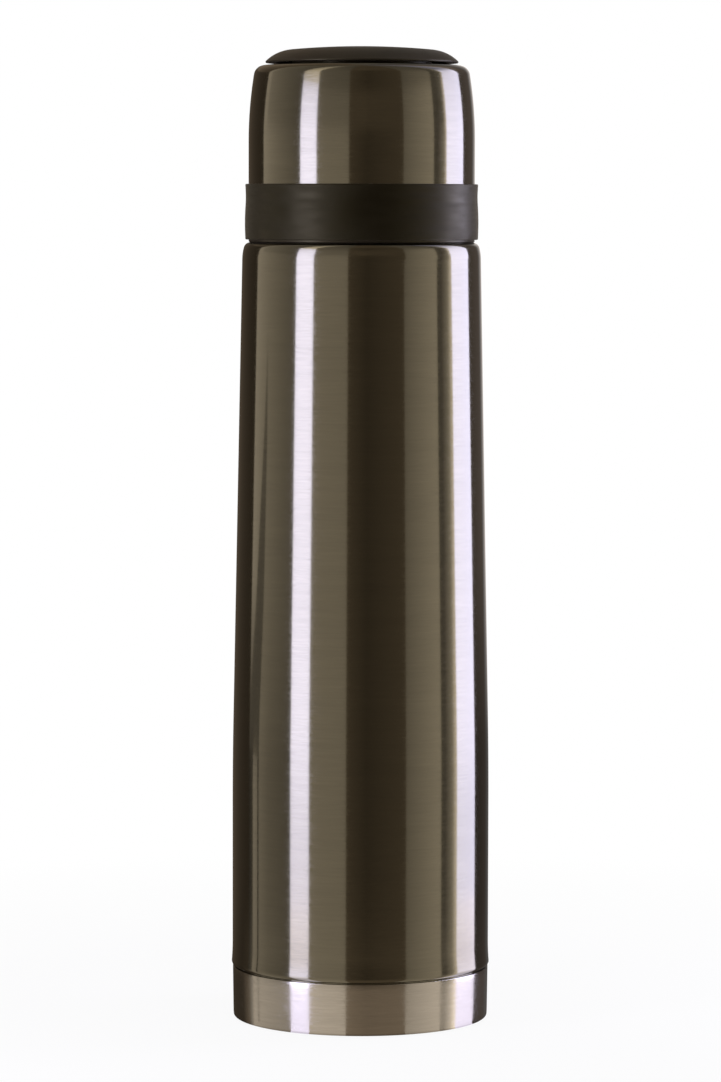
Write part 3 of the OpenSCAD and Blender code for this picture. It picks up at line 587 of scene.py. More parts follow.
def finish(slot):
    """The material of one finish, made when it is first asked for."""
    name = slot + "_look"
    found = bpy.data.materials.get(name)
    if found:
        return found
    hue = bpy.context.scene.flask_finishes
    makers = {
        "lacquered_steel": lambda: brushed(name, hue.lacquer, 0.13, stretch=0.7, coat=1.0, tone_spread=0.1),
        "bare_steel": lambda: brushed(name, hue.steel, 0.2, stretch=0.6, coat=0.0, tone_spread=0.08),
        "base_steel": lambda: brushed(name, hue.steel, 0.17, stretch=0.6, coat=0.0, tone_spread=0.08),
        "band_plastic": lambda: moulded(name, hue.band, 0.46, 0.012 * MM, bloom=0.16, rub=0.32),
        "disc_plastic": lambda: moulded(name, hue.disc, 0.42, 0.008 * MM, bloom=0.06),
        "liner_plastic": lambda: moulded(name, hue.disc, 0.34, 0.004 * MM),
        "black_plastic": lambda: moulded(name, hue.stopper, 0.38, 0.008 * MM),
        "button_plastic": lambda: moulded(name, hue.stopper, 0.3, 0.004 * MM),
        "silicone": lambda: soft_rubber(name, hue.silicone, 0.42, see_through=0.25, cell_scale=900),
        "cushion_rubber": lambda: soft_rubber(name, hue.foam, 0.85, see_through=0.0, cell_scale=2600),
        "foil": lambda: plain_metal(name, hue.foil, 0.22, 160, 0.08 * MM),
        "getter_metal": lambda: plain_metal(name, hue.getter, 0.6, 3200, 0.03 * MM),
        "spring_steel": lambda: plain_metal(name, hue.spring, 0.22, 1800, 0.005 * MM),
        "seal_glass": lambda: fused_glass(name, hue.glass),
    }
    return makers[slot]()


# ---------------------------------------------------------------- Body

TAPER_STEPS = 24
CAP_LIP_TURN = 15


def taper_line(body, low_z, high_z, top_radius, inset):
    """Points up the side from low_z to high_z: straight, then a gentle start to the taper, then a cone."""
    slope = (body.body_radius - top_radius) / (high_z - body.taper_start)
    line = [(body.body_radius - inset, low_z)]
    for i in range(TAPER_STEPS + 1):
        past = 2 * body.taper_ease * i / TAPER_STEPS
        line.append((body.body_radius - inset - slope * past * past / (4 * body.taper_ease),
                     body.taper_start - body.taper_ease + past))
    return spread(line + [(top_radius - inset, high_z)])


def body_line(body, inset):
    """The outer sheet from the top of its lower roll to the inner edge of the ledge, set in by the inset."""
    flare_top = high("base_cup") + body.seam + body.roll_radius + body.flare_height
    curve = (body.flare_height ** 2 + body.flare_out ** 2) / (2 * body.flare_out)
    flare = math.degrees(math.asin(body.flare_height / curve))
    shoulder_z = low("cup_liner")
    blend = math.degrees(body.blend_angle)
    edge_r = (body.shoulder_radius - body.shoulder_blend * (1 - math.cos(body.blend_angle))
              - body.shoulder_round * math.cos(body.blend_angle))
    edge_z = shoulder_z - body.shoulder_round
    blend_z = edge_z - (body.shoulder_blend - body.shoulder_round) * math.sin(body.blend_angle)
    start = math.atan((body.body_radius - body.shoulder_radius) / (blend_z - body.taper_start))
    blend_r = body.shoulder_radius - body.shoulder_blend
    top_r = blend_r + body.shoulder_blend * math.cos(start)
    top_z = blend_z + body.shoulder_blend * math.sin(start)
    return (arc(body.body_radius + curve, flare_top, curve + inset, 180 + flare, 180, 12)
            + taper_line(body, flare_top, top_z, top_r, inset)[1:]
            + arc(blend_r, blend_z, body.shoulder_blend - inset, math.degrees(start), blend, 14)[1:]
            + arc(edge_r, edge_z, body.shoulder_round - inset, blend, 90, 18)[1:]
            + [(body.neck_radius + body.neck_fillet, shoulder_z - inset)])


def make_body_shell():
    """Lacquered outer sheet, from the end inside the base cap to the ledge round the neck."""
    body = bpy.context.scene.flask_body
    roll_z = high("base_cup") + body.seam + body.roll_radius
    roll_r = body.body_radius + body.flare_out - body.roll_radius
    start = -math.degrees(math.acos((body.spigot_radius - roll_r) / body.roll_radius))
    inner = body.spigot_radius - body.sheet
    foot_z = low("outer_shell")
    outside = ([(body.spigot_radius, foot_z)] + arc(roll_r, roll_z, body.roll_radius, start, -8, 12)
               + body_line(body, 0))
    inside = ([(inner, foot_z), (inner, roll_z - body.roll_radius + body.sheet)]
              + arc(roll_r, roll_z, body.roll_radius - body.sheet, -90, -8, 6) + body_line(body, body.sheet))
    lathe("body_shell", outside + inside[::-1], "flask", "lacquered_steel", ["outer_shell"])


def neck_line(body, inset):
    """The neck from the ledge up to the top of the rolled rim, set in by the inset."""
    fillet_z = low("cup_liner") + body.neck_fillet
    roll_z = low("stopper_gasket") - body.rim_roll
    return (arc(body.neck_radius + body.neck_fillet, fillet_z, body.neck_fillet + inset, 270, 180, 8)
            + spread([(body.neck_radius - inset, fillet_z), (body.neck_radius - inset, roll_z)])
            + arc(body.neck_radius - body.rim_roll, roll_z, body.rim_roll - inset, 0, 90, 12)[1:])


def make_neck():
    """Bare steel neck that rises from the ledge and rolls over at the rim."""
    body = bpy.context.scene.flask_body
    lathe("neck", neck_line(body, 0) + neck_line(body, body.sheet)[::-1], "flask", "bare_steel")


def vessel_line(body, out):
    """The inner vessel from the rim down to the middle of its floor, moved out from its inner surface."""
    rim_z = low("stopper_gasket")
    floor_z = low("inner_vessel") + body.vessel_sheet
    mouth_roll = body.neck_radius - body.rim_roll - body.mouth_radius
    stack = body.sheet + body.vacuum_gap + body.vessel_sheet
    wall = body.body_radius - stack
    neck_z = low("cup_liner") - body.neck_depth
    slope = body.vessel_slope
    slope_r = body.mouth_radius + body.neck_flare * (1 - math.cos(slope))
    slope_z = neck_z - body.neck_flare * math.sin(slope)
    corner = body.shoulder_radius - stack - body.vessel_shoulder
    corner_start = corner + body.vessel_shoulder * math.cos(slope)
    corner_z = slope_z - (corner_start - slope_r) / math.tan(slope) - body.vessel_shoulder * math.sin(slope)
    knuckle = wall - body.knuckle
    dish = body.dish_angle
    dish_r = (knuckle + body.knuckle * math.cos(dish)) / math.cos(dish)
    knuckle_z = floor_z + dish_r - (dish_r - body.knuckle) * math.sin(dish)
    line = (arc(body.neck_radius - body.rim_roll, rim_z - mouth_roll, mouth_roll - out, 90, 180, 12)
            + arc(body.mouth_radius + body.neck_flare, neck_z, body.neck_flare - out,
                  180, 180 + math.degrees(slope), 10)
            + arc(corner, corner_z, body.vessel_shoulder + out, math.degrees(slope), 0, 12)
            + [(wall + out, body.taper_start)]
            + arc(knuckle, knuckle_z, body.knuckle + out, 0, -math.degrees(dish), 16)
            + arc(0, floor_z + dish_r, dish_r + out, -math.degrees(dish), -90, 14)[1:])
    return spread(line, 12 * MM)


def make_vessel():
    """Inner steel vessel, in brushed bare steel."""
    body = bpy.context.scene.flask_body
    outline = vessel_line(body, body.vessel_sheet) + vessel_line(body, 0)[::-1]
    lathe("vessel", outline, "flask", "bare_steel", ["inner_vessel"])


def make_base_cap():
    """Bare steel cap under the body, with a flat foot ring, a raised panel and a fine lip on its cut edge."""
    body = bpy.context.scene.flask_body
    sheet = body.cap_sheet
    panel_r = body.foot_ring - body.panel_slope
    round_r = body.cap_foot_radius - body.cap_round
    rim_z = high("base_cup")
    lip_z = rim_z - body.cap_lip
    shift = sheet * math.tan(math.radians(CAP_LIP_TURN))
    outside = ([(0, body.panel_height), (panel_r, body.panel_height), (body.foot_ring, 0)]
               + arc(round_r, body.cap_round, body.cap_round, -90, 0, 12)
               + spread([(body.cap_foot_radius, body.cap_round), (body.cap_radius, lip_z)], 2 * MM)[1:]
               + arc(body.cap_radius - body.cap_lip, lip_z, body.cap_lip, CAP_LIP_TURN, 90, 5))
    inside = ([(0, body.panel_height + sheet), (panel_r + shift, body.panel_height + sheet),
               (body.foot_ring + shift, sheet)]
              + arc(round_r, body.cap_round, body.cap_round - sheet, -90, 0, 6)
              + [(body.cap_radius - sheet, rim_z)])
    lathe("base_cap", outside + inside[::-1], "flask", "base_steel", ["base_cup"])


# ---------------------------------------------------------------- Threads

# Share of a ridge over which each end runs out, and share of the crest's width that is left at its end
RUN_OUT = 0.08
END_CREST = 0.4


def ridge(bm, wall_r, height, inward, low_z, start, thread):
    """One helical ridge on a wall, running out smoothly at both ends."""
    steps = max(24, round(SMALL_STEPS * thread.turns))
    sign = -1 if inward else 1
    root = wall_r - sign * thread.sunk
    half_root = thread.root_width / 2
    sections = []
    for k in range(steps + 1):
        part = k / steps
        turn = start + 2 * math.pi * thread.turns * part
        z = low_z + thread.lead * thread.turns * part
        grown = smooth_step(min(part, 1 - part) / RUN_OUT)
        crest = wall_r + sign * height * grown
        half_crest = thread.crest_width / 2 * (END_CREST + (1 - END_CREST) * grown)
        outline = ((root, z - half_root), (wall_r, z - half_root), (crest, z - half_crest),
                   (crest, z + half_crest), (wall_r, z + half_root), (root, z + half_root))
        sections.append([bm.verts.new(polar(r, turn, h)) for r, h in outline])
    join_sections(bm, sections)


def make_thread(name, body, slot, wall_r, height, inward, low_z, phase):
    """A screw thread of several starts, in step with the shared lead."""
    thread = bpy.context.scene.flask_threads
    bm = bmesh.new()
    for k in range(thread.starts):
        start = 2 * math.pi * (k / thread.starts + (low_z - phase) / thread.lead)
        ridge(bm, wall_r, height, inward, low_z, start, thread)
    piece(name, bm, body, slot)


def make_threads():
    """Ridges on neck and cup and on plug and mouth, the two of each pair half a pitch apart."""
    body = bpy.context.scene.flask_body
    cup = bpy.context.scene.flask_cup
    plug_r = bpy.context.scene.flask_stopper.plug_radius
    thread = bpy.context.scene.flask_threads
    half = thread.lead / thread.starts / 2
    ridge_foot = low("stopper_gasket") - thread.lead * thread.turns
    neck_z = ridge_foot - body.rim_roll - thread.root_width
    cup_z = low("cup_liner") + thread.root_width
    mouth_z = ridge_foot - 3 * thread.root_width
    plug_z = ridge_foot - 2 * thread.root_width
    make_thread("neck_thread", "flask", "bare_steel", body.neck_radius, thread.neck_ridge, False, neck_z, 0)
    make_thread("cup_thread", "cup", "liner_plastic", cup.liner_radius, thread.liner_ridge, True, cup_z, half)
    make_thread("mouth_thread", "flask", "bare_steel", body.mouth_radius, thread.mouth_ridge, True,
                mouth_z, 0)
    make_thread("plug_thread", "stopper", "black_plastic", plug_r, thread.plug_ridge, False, plug_z, half)


# ---------------------------------------------------------------- Stopper

HEAD_ROUND = 0.8 * MM
FINE_ROUND = 0.3 * MM
WALL_STEPS = 26
FLUTE_STEPS = 16
SPRING_STEPS = 40
WIRE_STEPS = 14

# How far the ribs run into the walls that they join, the gasket's clearance round the plug, and the rise of
# the spring's closed turns in wire radii
WEB_SUNK = 0.3 * MM
GASKET_FIT = 0.6 * MM
CLOSED_RISE = 2.3


def fluted(stopper, head_z, collar_z):
    """Shape of the collar: grip flutes that run out towards the floor and the lip."""
    flute_low = head_z + 1.4 * MM
    flute_high = collar_z - 4.0 * MM
    run_out = 1.2 * MM
    pitch = 2 * math.pi / stopper.flutes
    centre = stopper.head_radius + stopper.flute_radius - stopper.flute_depth

    def shape(turn, r, z):
        if r < stopper.head_radius - 0.05 * MM or not flute_low <= z <= flute_high:
            return r
        off = abs((turn + pitch / 2) % pitch - pitch / 2) * r
        cut = stopper.flute_radius ** 2 - off ** 2
        if cut <= 0:
            return r
        ease = smooth_step(min(z - flute_low, flute_high - z) / run_out)
        return r - max(0.0, r - (centre - math.sqrt(cut))) * ease
    return shape


def make_stopper_head():
    """Moulded head with fluted collar and pouring lip, hollow plug, valve seat, ribs and stem guide."""
    stopper = bpy.context.scene.flask_stopper
    plug_z = low("stopper_body")
    seat_z = plug_z + stopper.seat
    head_z = high("stopper_gasket")
    top_z = high("stopper_body")
    ledge_z = top_z - stopper.cap_thickness
    ledge_r = stopper.collar_inner - stopper.ledge
    floor_z = head_z + stopper.head_floor
    wall_z = head_z + HEAD_ROUND
    rise = top_z - stopper.lip_height - wall_z
    lip_r = stopper.head_radius + stopper.lip_out
    lip_foot = (stopper.head_radius + 0.25 * stopper.lip_out, top_z - 1.7 * MM)
    outline = ([(stopper.valve_radius, plug_z), (stopper.plug_radius - stopper.plug_lead, plug_z),
                (stopper.plug_radius, plug_z + 2 * stopper.plug_lead), (stopper.plug_radius, head_z)]
               + arc(stopper.head_radius - HEAD_ROUND, wall_z, HEAD_ROUND, -90, 0, 5)
               + [(stopper.head_radius, wall_z + rise * i / WALL_STEPS) for i in range(1, WALL_STEPS + 1)]
               + [lip_foot]
               + arc(lip_r - HEAD_ROUND, top_z - HEAD_ROUND, HEAD_ROUND, -10, 90, 8)
               + arc(stopper.collar_inner + FINE_ROUND, top_z - FINE_ROUND, FINE_ROUND, 90, 180, 3)
               + [(stopper.collar_inner, ledge_z), (ledge_r, ledge_z), (ledge_r, floor_z),
                  (stopper.plug_inner, floor_z), (stopper.plug_inner, seat_z),
                  (stopper.valve_radius, seat_z)])
    bm = bmesh.new()
    turned(bm, outline, stopper.flutes * FLUTE_STEPS, fluted(stopper, head_z, top_z))
    guide_z = seat_z + stopper.guide_rise
    guide_top = guide_z + stopper.guide_height
    rib_top = guide_top - 1 * MM
    guide_in = stopper.stem_radius + stopper.stem_gap
    guide_out = guide_in + stopper.guide_wall
    tube(bm, guide_in, guide_out, guide_z, guide_top, SMALL_STEPS)
    webs(bm, stopper.ribs, stopper.rib_thickness, guide_out - WEB_SUNK, stopper.plug_inner + WEB_SUNK,
         guide_z, rib_top)
    piece("stopper_head", bm, "stopper", "black_plastic", ["stopper_body"])


def make_gasket_ring():
    """Silicone ring between the head and the rim, with rounded edges."""
    low_z = low("stopper_gasket")
    high_z = high("stopper_gasket")
    half = (high_z - low_z) / 2
    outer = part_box("stopper_gasket")[1].x
    inner = bpy.context.scene.flask_stopper.plug_radius + GASKET_FIT
    outline = (arc(outer - half, low_z + half, half, -90, 90, 12)
               + arc(inner + FINE_ROUND, high_z - FINE_ROUND, FINE_ROUND, 90, 180, 4)
               + arc(inner + FINE_ROUND, low_z + FINE_ROUND, FINE_ROUND, 180, 270, 4))
    lathe("gasket_ring", outline, "stopper_seal", "silicone", ["stopper_gasket"])


def make_button():
    """Push button with a rounded edge and a shallow thumb dish, hollow below round its stem socket."""
    stopper = bpy.context.scene.flask_stopper
    top_z = high("push_button")
    skirt_z = low("push_button")
    under_z = top_z - stopper.button_dome - stopper.button_wall
    socket_z = under_z - stopper.socket_depth
    socket_r = stopper.stem_radius + stopper.socket_wall
    inner = stopper.button_radius - stopper.button_wall
    flat_r = stopper.dish_radius + 1.6 * MM
    rim_r = stopper.dish_radius + 0.6 * MM
    rim_z = top_z - 0.03 * MM
    dish_curve = (stopper.dish_radius ** 2 + stopper.dish_depth ** 2) / (2 * stopper.dish_depth)
    dish_turn = math.degrees(math.asin(stopper.dish_radius / dish_curve))
    outline = ([(inner, skirt_z), (stopper.button_radius, skirt_z)]
               + arc(stopper.button_radius - stopper.button_edge, top_z - stopper.button_edge,
                     stopper.button_edge, 0, 80, 8)
               + [(flat_r, top_z), (rim_r, rim_z)]
               + arc(0, top_z - stopper.dish_depth + dish_curve, dish_curve, -90 + dish_turn, -90, 10)
               + [(0, under_z), (stopper.stem_radius, under_z), (stopper.stem_radius, socket_z),
                  (socket_r, socket_z), (socket_r, under_z), (inner, under_z)])
    lathe("button", outline, "valve", "button_plastic", ["push_button"], SMALL_STEPS)


def make_spring():
    """Coil spring under the button, closed at each end."""
    stopper = bpy.context.scene.flask_stopper
    foot_z = low("button_spring")
    head_z = high("button_spring")
    wire = stopper.spring_wire
    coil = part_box("button_spring")[1].x - wire
    low_z = foot_z + wire
    high_z = head_z - wire
    closed = wire * CLOSED_RISE
    open_turns = stopper.spring_turns - 2
    steps = stopper.spring_turns * SPRING_STEPS
    bm = bmesh.new()
    sections = []
    for k in range(steps + 1):
        turns = stopper.spring_turns * k / steps
        middle = low_z + closed + (high_z - low_z - 2 * closed) * (turns - 1) / open_turns
        z = min(max(middle, low_z + closed * turns), high_z - closed * (stopper.spring_turns - turns))
        ring = arc(coil, z, wire, 0, 360, WIRE_STEPS)[:-1]
        sections.append([bm.verts.new(polar(r, 2 * math.pi * turns, h)) for r, h in ring])
    join_sections(bm, sections)
    spring = piece("spring_coil", bm, "stopper", "spring_steel", ["button_spring"])
    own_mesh(spring)


def make_valve():
    """Stem, valve disc with its hub, and the silicone ring that bears on the seat."""
    stopper = bpy.context.scene.flask_stopper
    foot = low("valve_stem")
    clip_z = low("valve_clip")
    disc_z = low("valve_disc")
    disc_top = low("valve_gasket")
    hub_top = high("valve_disc")
    ring_top = high("valve_gasket")
    stem_r = stopper.stem_radius
    groove = stem_r - stopper.stem_groove
    chamfer = 0.4 * MM
    stem = [(0, foot), (stem_r - chamfer, foot), (stem_r, foot + chamfer), (stem_r, clip_z), (groove, clip_z),
            (groove, disc_z), (stem_r, disc_z), (stem_r, high("valve_stem")), (0, high("valve_stem"))]
    lathe("stem", stem, "valve", "bare_steel", ["valve_stem"], SMALL_STEPS)
    hub = stem_r + stopper.hub_wall
    edge = 0.7 * MM
    fillet = 2 * MM
    plate = ([(stem_r, disc_z)] + arc(stopper.valve_disc - edge, disc_z + edge, edge, -90, 0, 6)
             + [(stopper.valve_disc, disc_top)] + arc(hub + fillet, disc_top + fillet, fillet, 270, 180, 6)
             + [(hub, hub_top), (stem_r, hub_top)])
    lathe("valve_plate", plate, "valve", "black_plastic", ["valve_disc"], SMALL_STEPS)
    overlap = 1 * MM
    inner = stopper.valve_radius - overlap
    soft = 0.5 * MM
    ring = ([(inner, disc_top), (stopper.valve_disc, disc_top)]
            + arc(stopper.valve_disc - soft, ring_top - soft, soft, 0, 90, 5)
            + arc(inner + soft, ring_top - soft, soft, 90, 180, 5))
    lathe("valve_ring", ring, "valve", "silicone", ["valve_gasket"], SMALL_STEPS)


# ---------------------------------------------------------------- Cup

BAND_STEPS = 40
FINGER_STEPS = 16

# How far the spokes run into the ring rib and the fingers, and how many degrees after the outer curve of the
# disc's edge its inner curve starts
SPOKE_SUNK = 0.6 * MM
INNER_START = 8


def cup_line(cup, inset):
    """The cup's steel from its lower edge to the hole in its top, set in by the inset."""
    top_z = high("cup_shell")
    crown_z = top_z - cup.crown_height
    crown = math.asin((cup.crown_height - cup.edge_radius) / (cup.crown_radius - cup.edge_radius))
    crown_r = cup.cup_radius - cup.crown_radius
    edge_r = crown_r + (cup.crown_radius - cup.edge_radius) * math.cos(crown)
    side_r = cup.cup_radius - inset
    return (spread([(side_r, low("cup_shell")), (side_r, crown_z)], 3 * MM)
            + arc(crown_r, crown_z, cup.crown_radius - inset, 0, math.degrees(crown), 16)[1:]
            + arc(edge_r, top_z - cup.edge_radius, cup.edge_radius - inset, math.degrees(crown), 90, 20)[1:]
            + spread([(edge_r, top_z - inset), (cup.hole_radius, top_z - inset)], 6 * MM)[1:])


def make_cup_skin():
    """Lacquered steel skin of the cup."""
    cup = bpy.context.scene.flask_cup
    outline = cup_line(cup, 0) + cup_line(cup, cup.sheet)[::-1]
    lathe("cup_skin", outline, "cup", "lacquered_steel", ["cup_shell"])


def make_liner():
    """Moulded drinking liner with its foot flange and the boss that the disc snaps into."""
    cup = bpy.context.scene.flask_cup
    foot_z = low("cup_liner")
    band_z = low("cup_band")
    under_z = high("cup_liner")
    top_z = under_z - cup.air_gap
    catch_z = top_z + cup.catch_height
    ceiling = top_z - cup.liner_wall
    thread_z = foot_z + cup.thread_zone
    foot_r = cup.cup_radius + cup.band_out - cup.foot_inset
    outer = cup.liner_radius + cup.liner_wall
    corner_r = cup.liner_radius - cup.liner_draft - cup.liner_round
    corner_z = ceiling - cup.liner_round
    barb_r = cup.finger_radius + cup.barb_out + FINE_ROUND
    boss_r = cup.hole_radius + cup.boss_wall
    outline = ([(cup.liner_radius + cup.liner_lead, foot_z), (foot_r - FINE_ROUND, foot_z),
                (foot_r, foot_z + FINE_ROUND), (foot_r, band_z), (outer, band_z), (outer, thread_z)]
               + arc(corner_r, corner_z, cup.liner_round + cup.liner_wall, 0, 90, 14)
               + [(boss_r, top_z), (boss_r, under_z), (cup.hole_radius, under_z), (cup.hole_radius, catch_z),
                  (barb_r, catch_z), (barb_r, top_z), (0, top_z), (0, ceiling)]
               + arc(corner_r, corner_z, cup.liner_round, 90, 0, 14)
               + [(cup.liner_radius, thread_z), (cup.liner_radius, foot_z + cup.liner_lead)])
    lathe("liner", outline, "cup", "liner_plastic", ["cup_liner"])


def make_band():
    """Grip band: swollen below and waisted above, with soft edges and a web under the steel."""
    cup = bpy.context.scene.flask_cup
    low_z = low("cup_band")
    high_z = high("cup_band")
    web_z = low("cup_shell")
    band_r = cup.cup_radius + cup.band_out
    edge = cup.band_round
    fit = cup.cup_radius + cup.band_fit
    inner = cup.liner_radius + cup.liner_wall + cup.band_fit
    side = []
    for i in range(BAND_STEPS + 1):
        part = i / BAND_STEPS
        if part < cup.band_split:
            wave = cup.band_swell * math.sin(math.pi * part / cup.band_split)
        else:
            wave = -cup.band_waist * math.sin(math.pi * (part - cup.band_split) / (1 - cup.band_split))
        side.append((band_r + wave, low_z + edge + part * (high_z - low_z - 2 * edge)))
    outline = (arc(band_r - edge, low_z + edge, edge, -90, 0, 6)[:-1] + side
               + arc(band_r - edge, high_z - edge, edge, 0, 90, 6)[1:]
               + [(fit, high_z), (fit, web_z), (inner, web_z), (inner, low_z)])
    lathe("grip_band", outline, "cup_ring", "band_plastic", ["cup_band"])


def make_disc():
    """Domed disc on the cup's top, with the ring rib, spokes and snap fingers under it."""
    cup = bpy.context.scene.flask_cup
    apex = high("cup_disc")
    steel_z = high("cup_shell")
    rim_z = steel_z + cup.disc_gap
    flat_r = cup.disc_radius - cup.disc_edge
    dome = math.asin(flat_r / cup.disc_dome)
    dome_z = apex - cup.disc_dome
    dome_edge = dome_z + cup.disc_dome * math.cos(dome)
    drop = dome_edge - rim_z - cup.disc_land
    run = cup.disc_edge
    curve = (run ** 2 + drop ** 2) / (2 * (drop * math.cos(dome) - run * math.sin(dome)))
    curve_r = flat_r - curve * math.sin(dome)
    curve_z = dome_edge - curve * math.cos(dome)
    dome_turn = 90 - math.degrees(dome)
    rim_turn = math.degrees(math.asin((rim_z + cup.disc_land - curve_z) / curve))
    under_turn = math.degrees(math.asin((rim_z - curve_z) / (curve - cup.disc_wall)))
    soft = 0.25 * MM
    high_z = apex - cup.disc_wall
    rib_top = high_z - 0.2 * MM
    root_top = high_z + 0.4 * MM
    top = (arc(0, dome_z, cup.disc_dome, 90, dome_turn, 16)
           + arc(curve_r, curve_z, curve, dome_turn, rim_turn, 22)[1:]
           + arc(cup.disc_radius - soft, rim_z + soft, soft, 0, -90, 4))
    under = ([(0.0, high_z), (flat_r, dome_edge - cup.disc_wall)]
             + arc(curve_r, curve_z, curve - cup.disc_wall, dome_turn - INNER_START, under_turn, 10))
    bm = bmesh.new()
    turned(bm, top + under[::-1], ROUND_STEPS)
    tube(bm, cup.rib_ring, cup.rib_ring + cup.rib_width, steel_z, rib_top, ROUND_STEPS)
    webs(bm, cup.spokes, cup.spoke_thickness, cup.finger_radius - SPOKE_SUNK, cup.rib_ring + SPOKE_SUNK,
         rim_z, high_z)
    fingers(bm, cup, rim_z, root_top)
    piece("cup_top_disc", bm, "cup", "disc_plastic", ["cup_disc"])


def fingers(bm, cup, root_z, top_z):
    """Snap fingers with barbs, parted by slots below their common root."""
    low_z = low("cup_disc")
    barb_z = low_z + cup.barb_height
    inner = cup.finger_radius - cup.finger_wall
    barb = cup.finger_radius + cup.barb_out
    outline = [(inner, low_z), (cup.finger_radius, low_z), (barb, barb_z - FINE_ROUND), (barb, barb_z),
               (cup.finger_radius, barb_z), (cup.finger_radius, root_z), (inner, root_z)]
    gap = cup.finger_slot / 2 / cup.finger_radius
    part = 2 * math.pi / cup.fingers
    for i in range(cup.fingers):
        turned_part(bm, outline, part * i + gap, part * (i + 1) - gap, FINGER_STEPS)
    tube(bm, inner, cup.finger_radius, root_z, top_z, SMALL_STEPS)


def dress_inner_parts():
    """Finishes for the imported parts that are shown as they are."""
    slots = {
        "reflective_foil": "foil", "vacuum_bottom": "bare_steel", "getter": "getter_metal",
        "vacuum_seal": "seal_glass", "base_cushion": "cushion_rubber", "stopper_cap": "black_plastic",
        "stem_seal": "silicone", "valve_clip": "spring_steel",
    }
    for node, slot in slots.items():
        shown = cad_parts[node]
        shown.data.materials.clear()
        shown.data.materials.append(finish(slot))


# ---------------------------------------------------------------- Studio

CARD_HUE = (1.0, 0.86, 0.70)
FLAG_HUE = (1.0, 0.76, 0.53)
LAMP_HUE = (1.0, 0.975, 1.35)
GLARE_HUE = (1.0, 0.93, 1.16)
EDGE_HUE = (1.0, 0.80, 0.68)
FAR_HUE = (1.0, 0.91, 0.86)

# Azimuths of cards' edges, in degrees from the camera's side to the right: both edges of the left lamp, the
# near edge of the right lamp, and then the edges that step sideways at the studio's split, each with its
# azimuth below the split and the one above it
LEFT_LAMP = (-65.8, -47.1)
RIGHT_LAMP = 96.8
FRONT_EDGE = (41.2, 43.3)
GAP_EDGE = (77.3, 79)
FRINGE_EDGE = (83, 85)
SIDE_EDGE = (91, 93.2)
RIGHT_FLAG_EDGE = (125, 126.8)

# Cards round the flask: name, edges, hue, then the tones at both edges of the part on the floor, of the
# standing part (with its own low and high end where they differ), and of the crown and the sky above it
CARDS = [
    ("left flag", -180, -133, FLAG_HUE,
     dict(floor=(0.044, 0.044), wall=(0.085, 0.065), crown=(0.2, 0.13), sky=(0.25, 0.17))),
    ("left flag 2", -133, -120, FLAG_HUE,
     dict(floor=(0.044, 0.16), wall=(0.065, 0.06), crown=(0.13, 0.11), sky=(0.17, 0.15))),
    ("left low flag", -120, -113.5, CARD_HUE,
     dict(floor=(0.16, 0.42), low=(0.06, 0.13), wall=(0.64, 0.6), crown=(0.62, 0.58), sky=(0.43, 0.41))),
    ("left side card", -113.5, -92, CARD_HUE,
     dict(floor=(0.54, 0.45), low=(0.54, 0.325), wall=(0.6, 0.44), high=(0.46, 0.34), crown=(0.41, 0.315),
          sky=(0.3, 0.255))),
    ("left side card 2", -92, LEFT_LAMP[0], CARD_HUE,
     dict(floor=(0.45, 0.345), low=(0.325, 0.21), wall=(0.44, 0.25), high=(0.34, 0.2), crown=(0.315, 0.2),
          sky=(0.255, 0.2))),
    ("left lamp floor", *LEFT_LAMP, GLARE_HUE, dict(floor=(1.45, 1.45), low=(3.4, 3.4))),
    ("left lamp top", *LEFT_LAMP, CARD_HUE, dict(crown=(1.2, 1.6), sky=(0.9, 1.2))),
    ("left front card", LEFT_LAMP[1], -13, CARD_HUE,
     dict(floor=(0.65, 0.58), wall=(0.54, 0.48), high=(0.4, 0.36), crown=(0.3, 0.24), sky=(0.3, 0.2))),
    ("front flag", -13, 5, FLAG_HUE, dict(floor=(0.23, 0.19), wall=(0.145, 0.085), high=(0.165, 0.17))),
    ("front flag 2", 5, FRONT_EDGE, FLAG_HUE,
     dict(floor=(0.19, 0.21), wall=(0.085, 0.145), high=(0.155, 0.15))),
    ("right front card", FRONT_EDGE, GAP_EDGE, CARD_HUE,
     dict(floor=(0.43, 0.69), wall=(0.34, 0.72), crown=(0.24, 0.4), sky=(0.21, 0.23))),
    ("right gap", GAP_EDGE, FRINGE_EDGE, CARD_HUE,
     dict(floor=(0.4, 0.4), wall=(0.17, 0.17), sky=(0.18, 0.18))),
    ("right fringe", FRINGE_EDGE, SIDE_EDGE, CARD_HUE,
     dict(floor=(0.45, 0.85), wall=(0.2, 0.55), high=(0.15, 0.35), crown=(0.2, 0.3), sky=(0.2, 0.25))),
    ("right edge", SIDE_EDGE, RIGHT_LAMP, CARD_HUE,
     dict(floor=(0.95, 1.55), wall=(0.6, 1.8), crown=(0.4, 1.5), sky=(0.3, 0.9))),
    ("right lamp floor", RIGHT_LAMP, RIGHT_FLAG_EDGE[0], GLARE_HUE, dict(floor=(1.5, 1.4), low=(3.2, 2.9))),
    ("right lamp top", RIGHT_LAMP, RIGHT_FLAG_EDGE, LAMP_HUE, dict(crown=(2.2, 2.8), sky=(0.25, 0.8))),
    ("right flag", RIGHT_FLAG_EDGE, 154, EDGE_HUE,
     dict(floor=(0.08, 0.08), low=(0.06, 0.06), wall=(0.13, 0.11), crown=(0.18, 0.12), sky=(0.45, 0.15))),
    ("right far card", 154, 180, FAR_HUE,
     dict(floor=(0.09, 0.1), low=(0.06, 0.15), wall=(0.1, 0.8), crown=(0.12, 0.4), sky=(0.15, 0.15))),
]

# Standing parts of the lamps: name, edges, tones at both edges
LAMPS = [
    ("left lamp", *LEFT_LAMP, (3.7, 3.7)),
    ("right lamp", RIGHT_LAMP, RIGHT_FLAG_EDGE, (3.5, 2.85)),
]

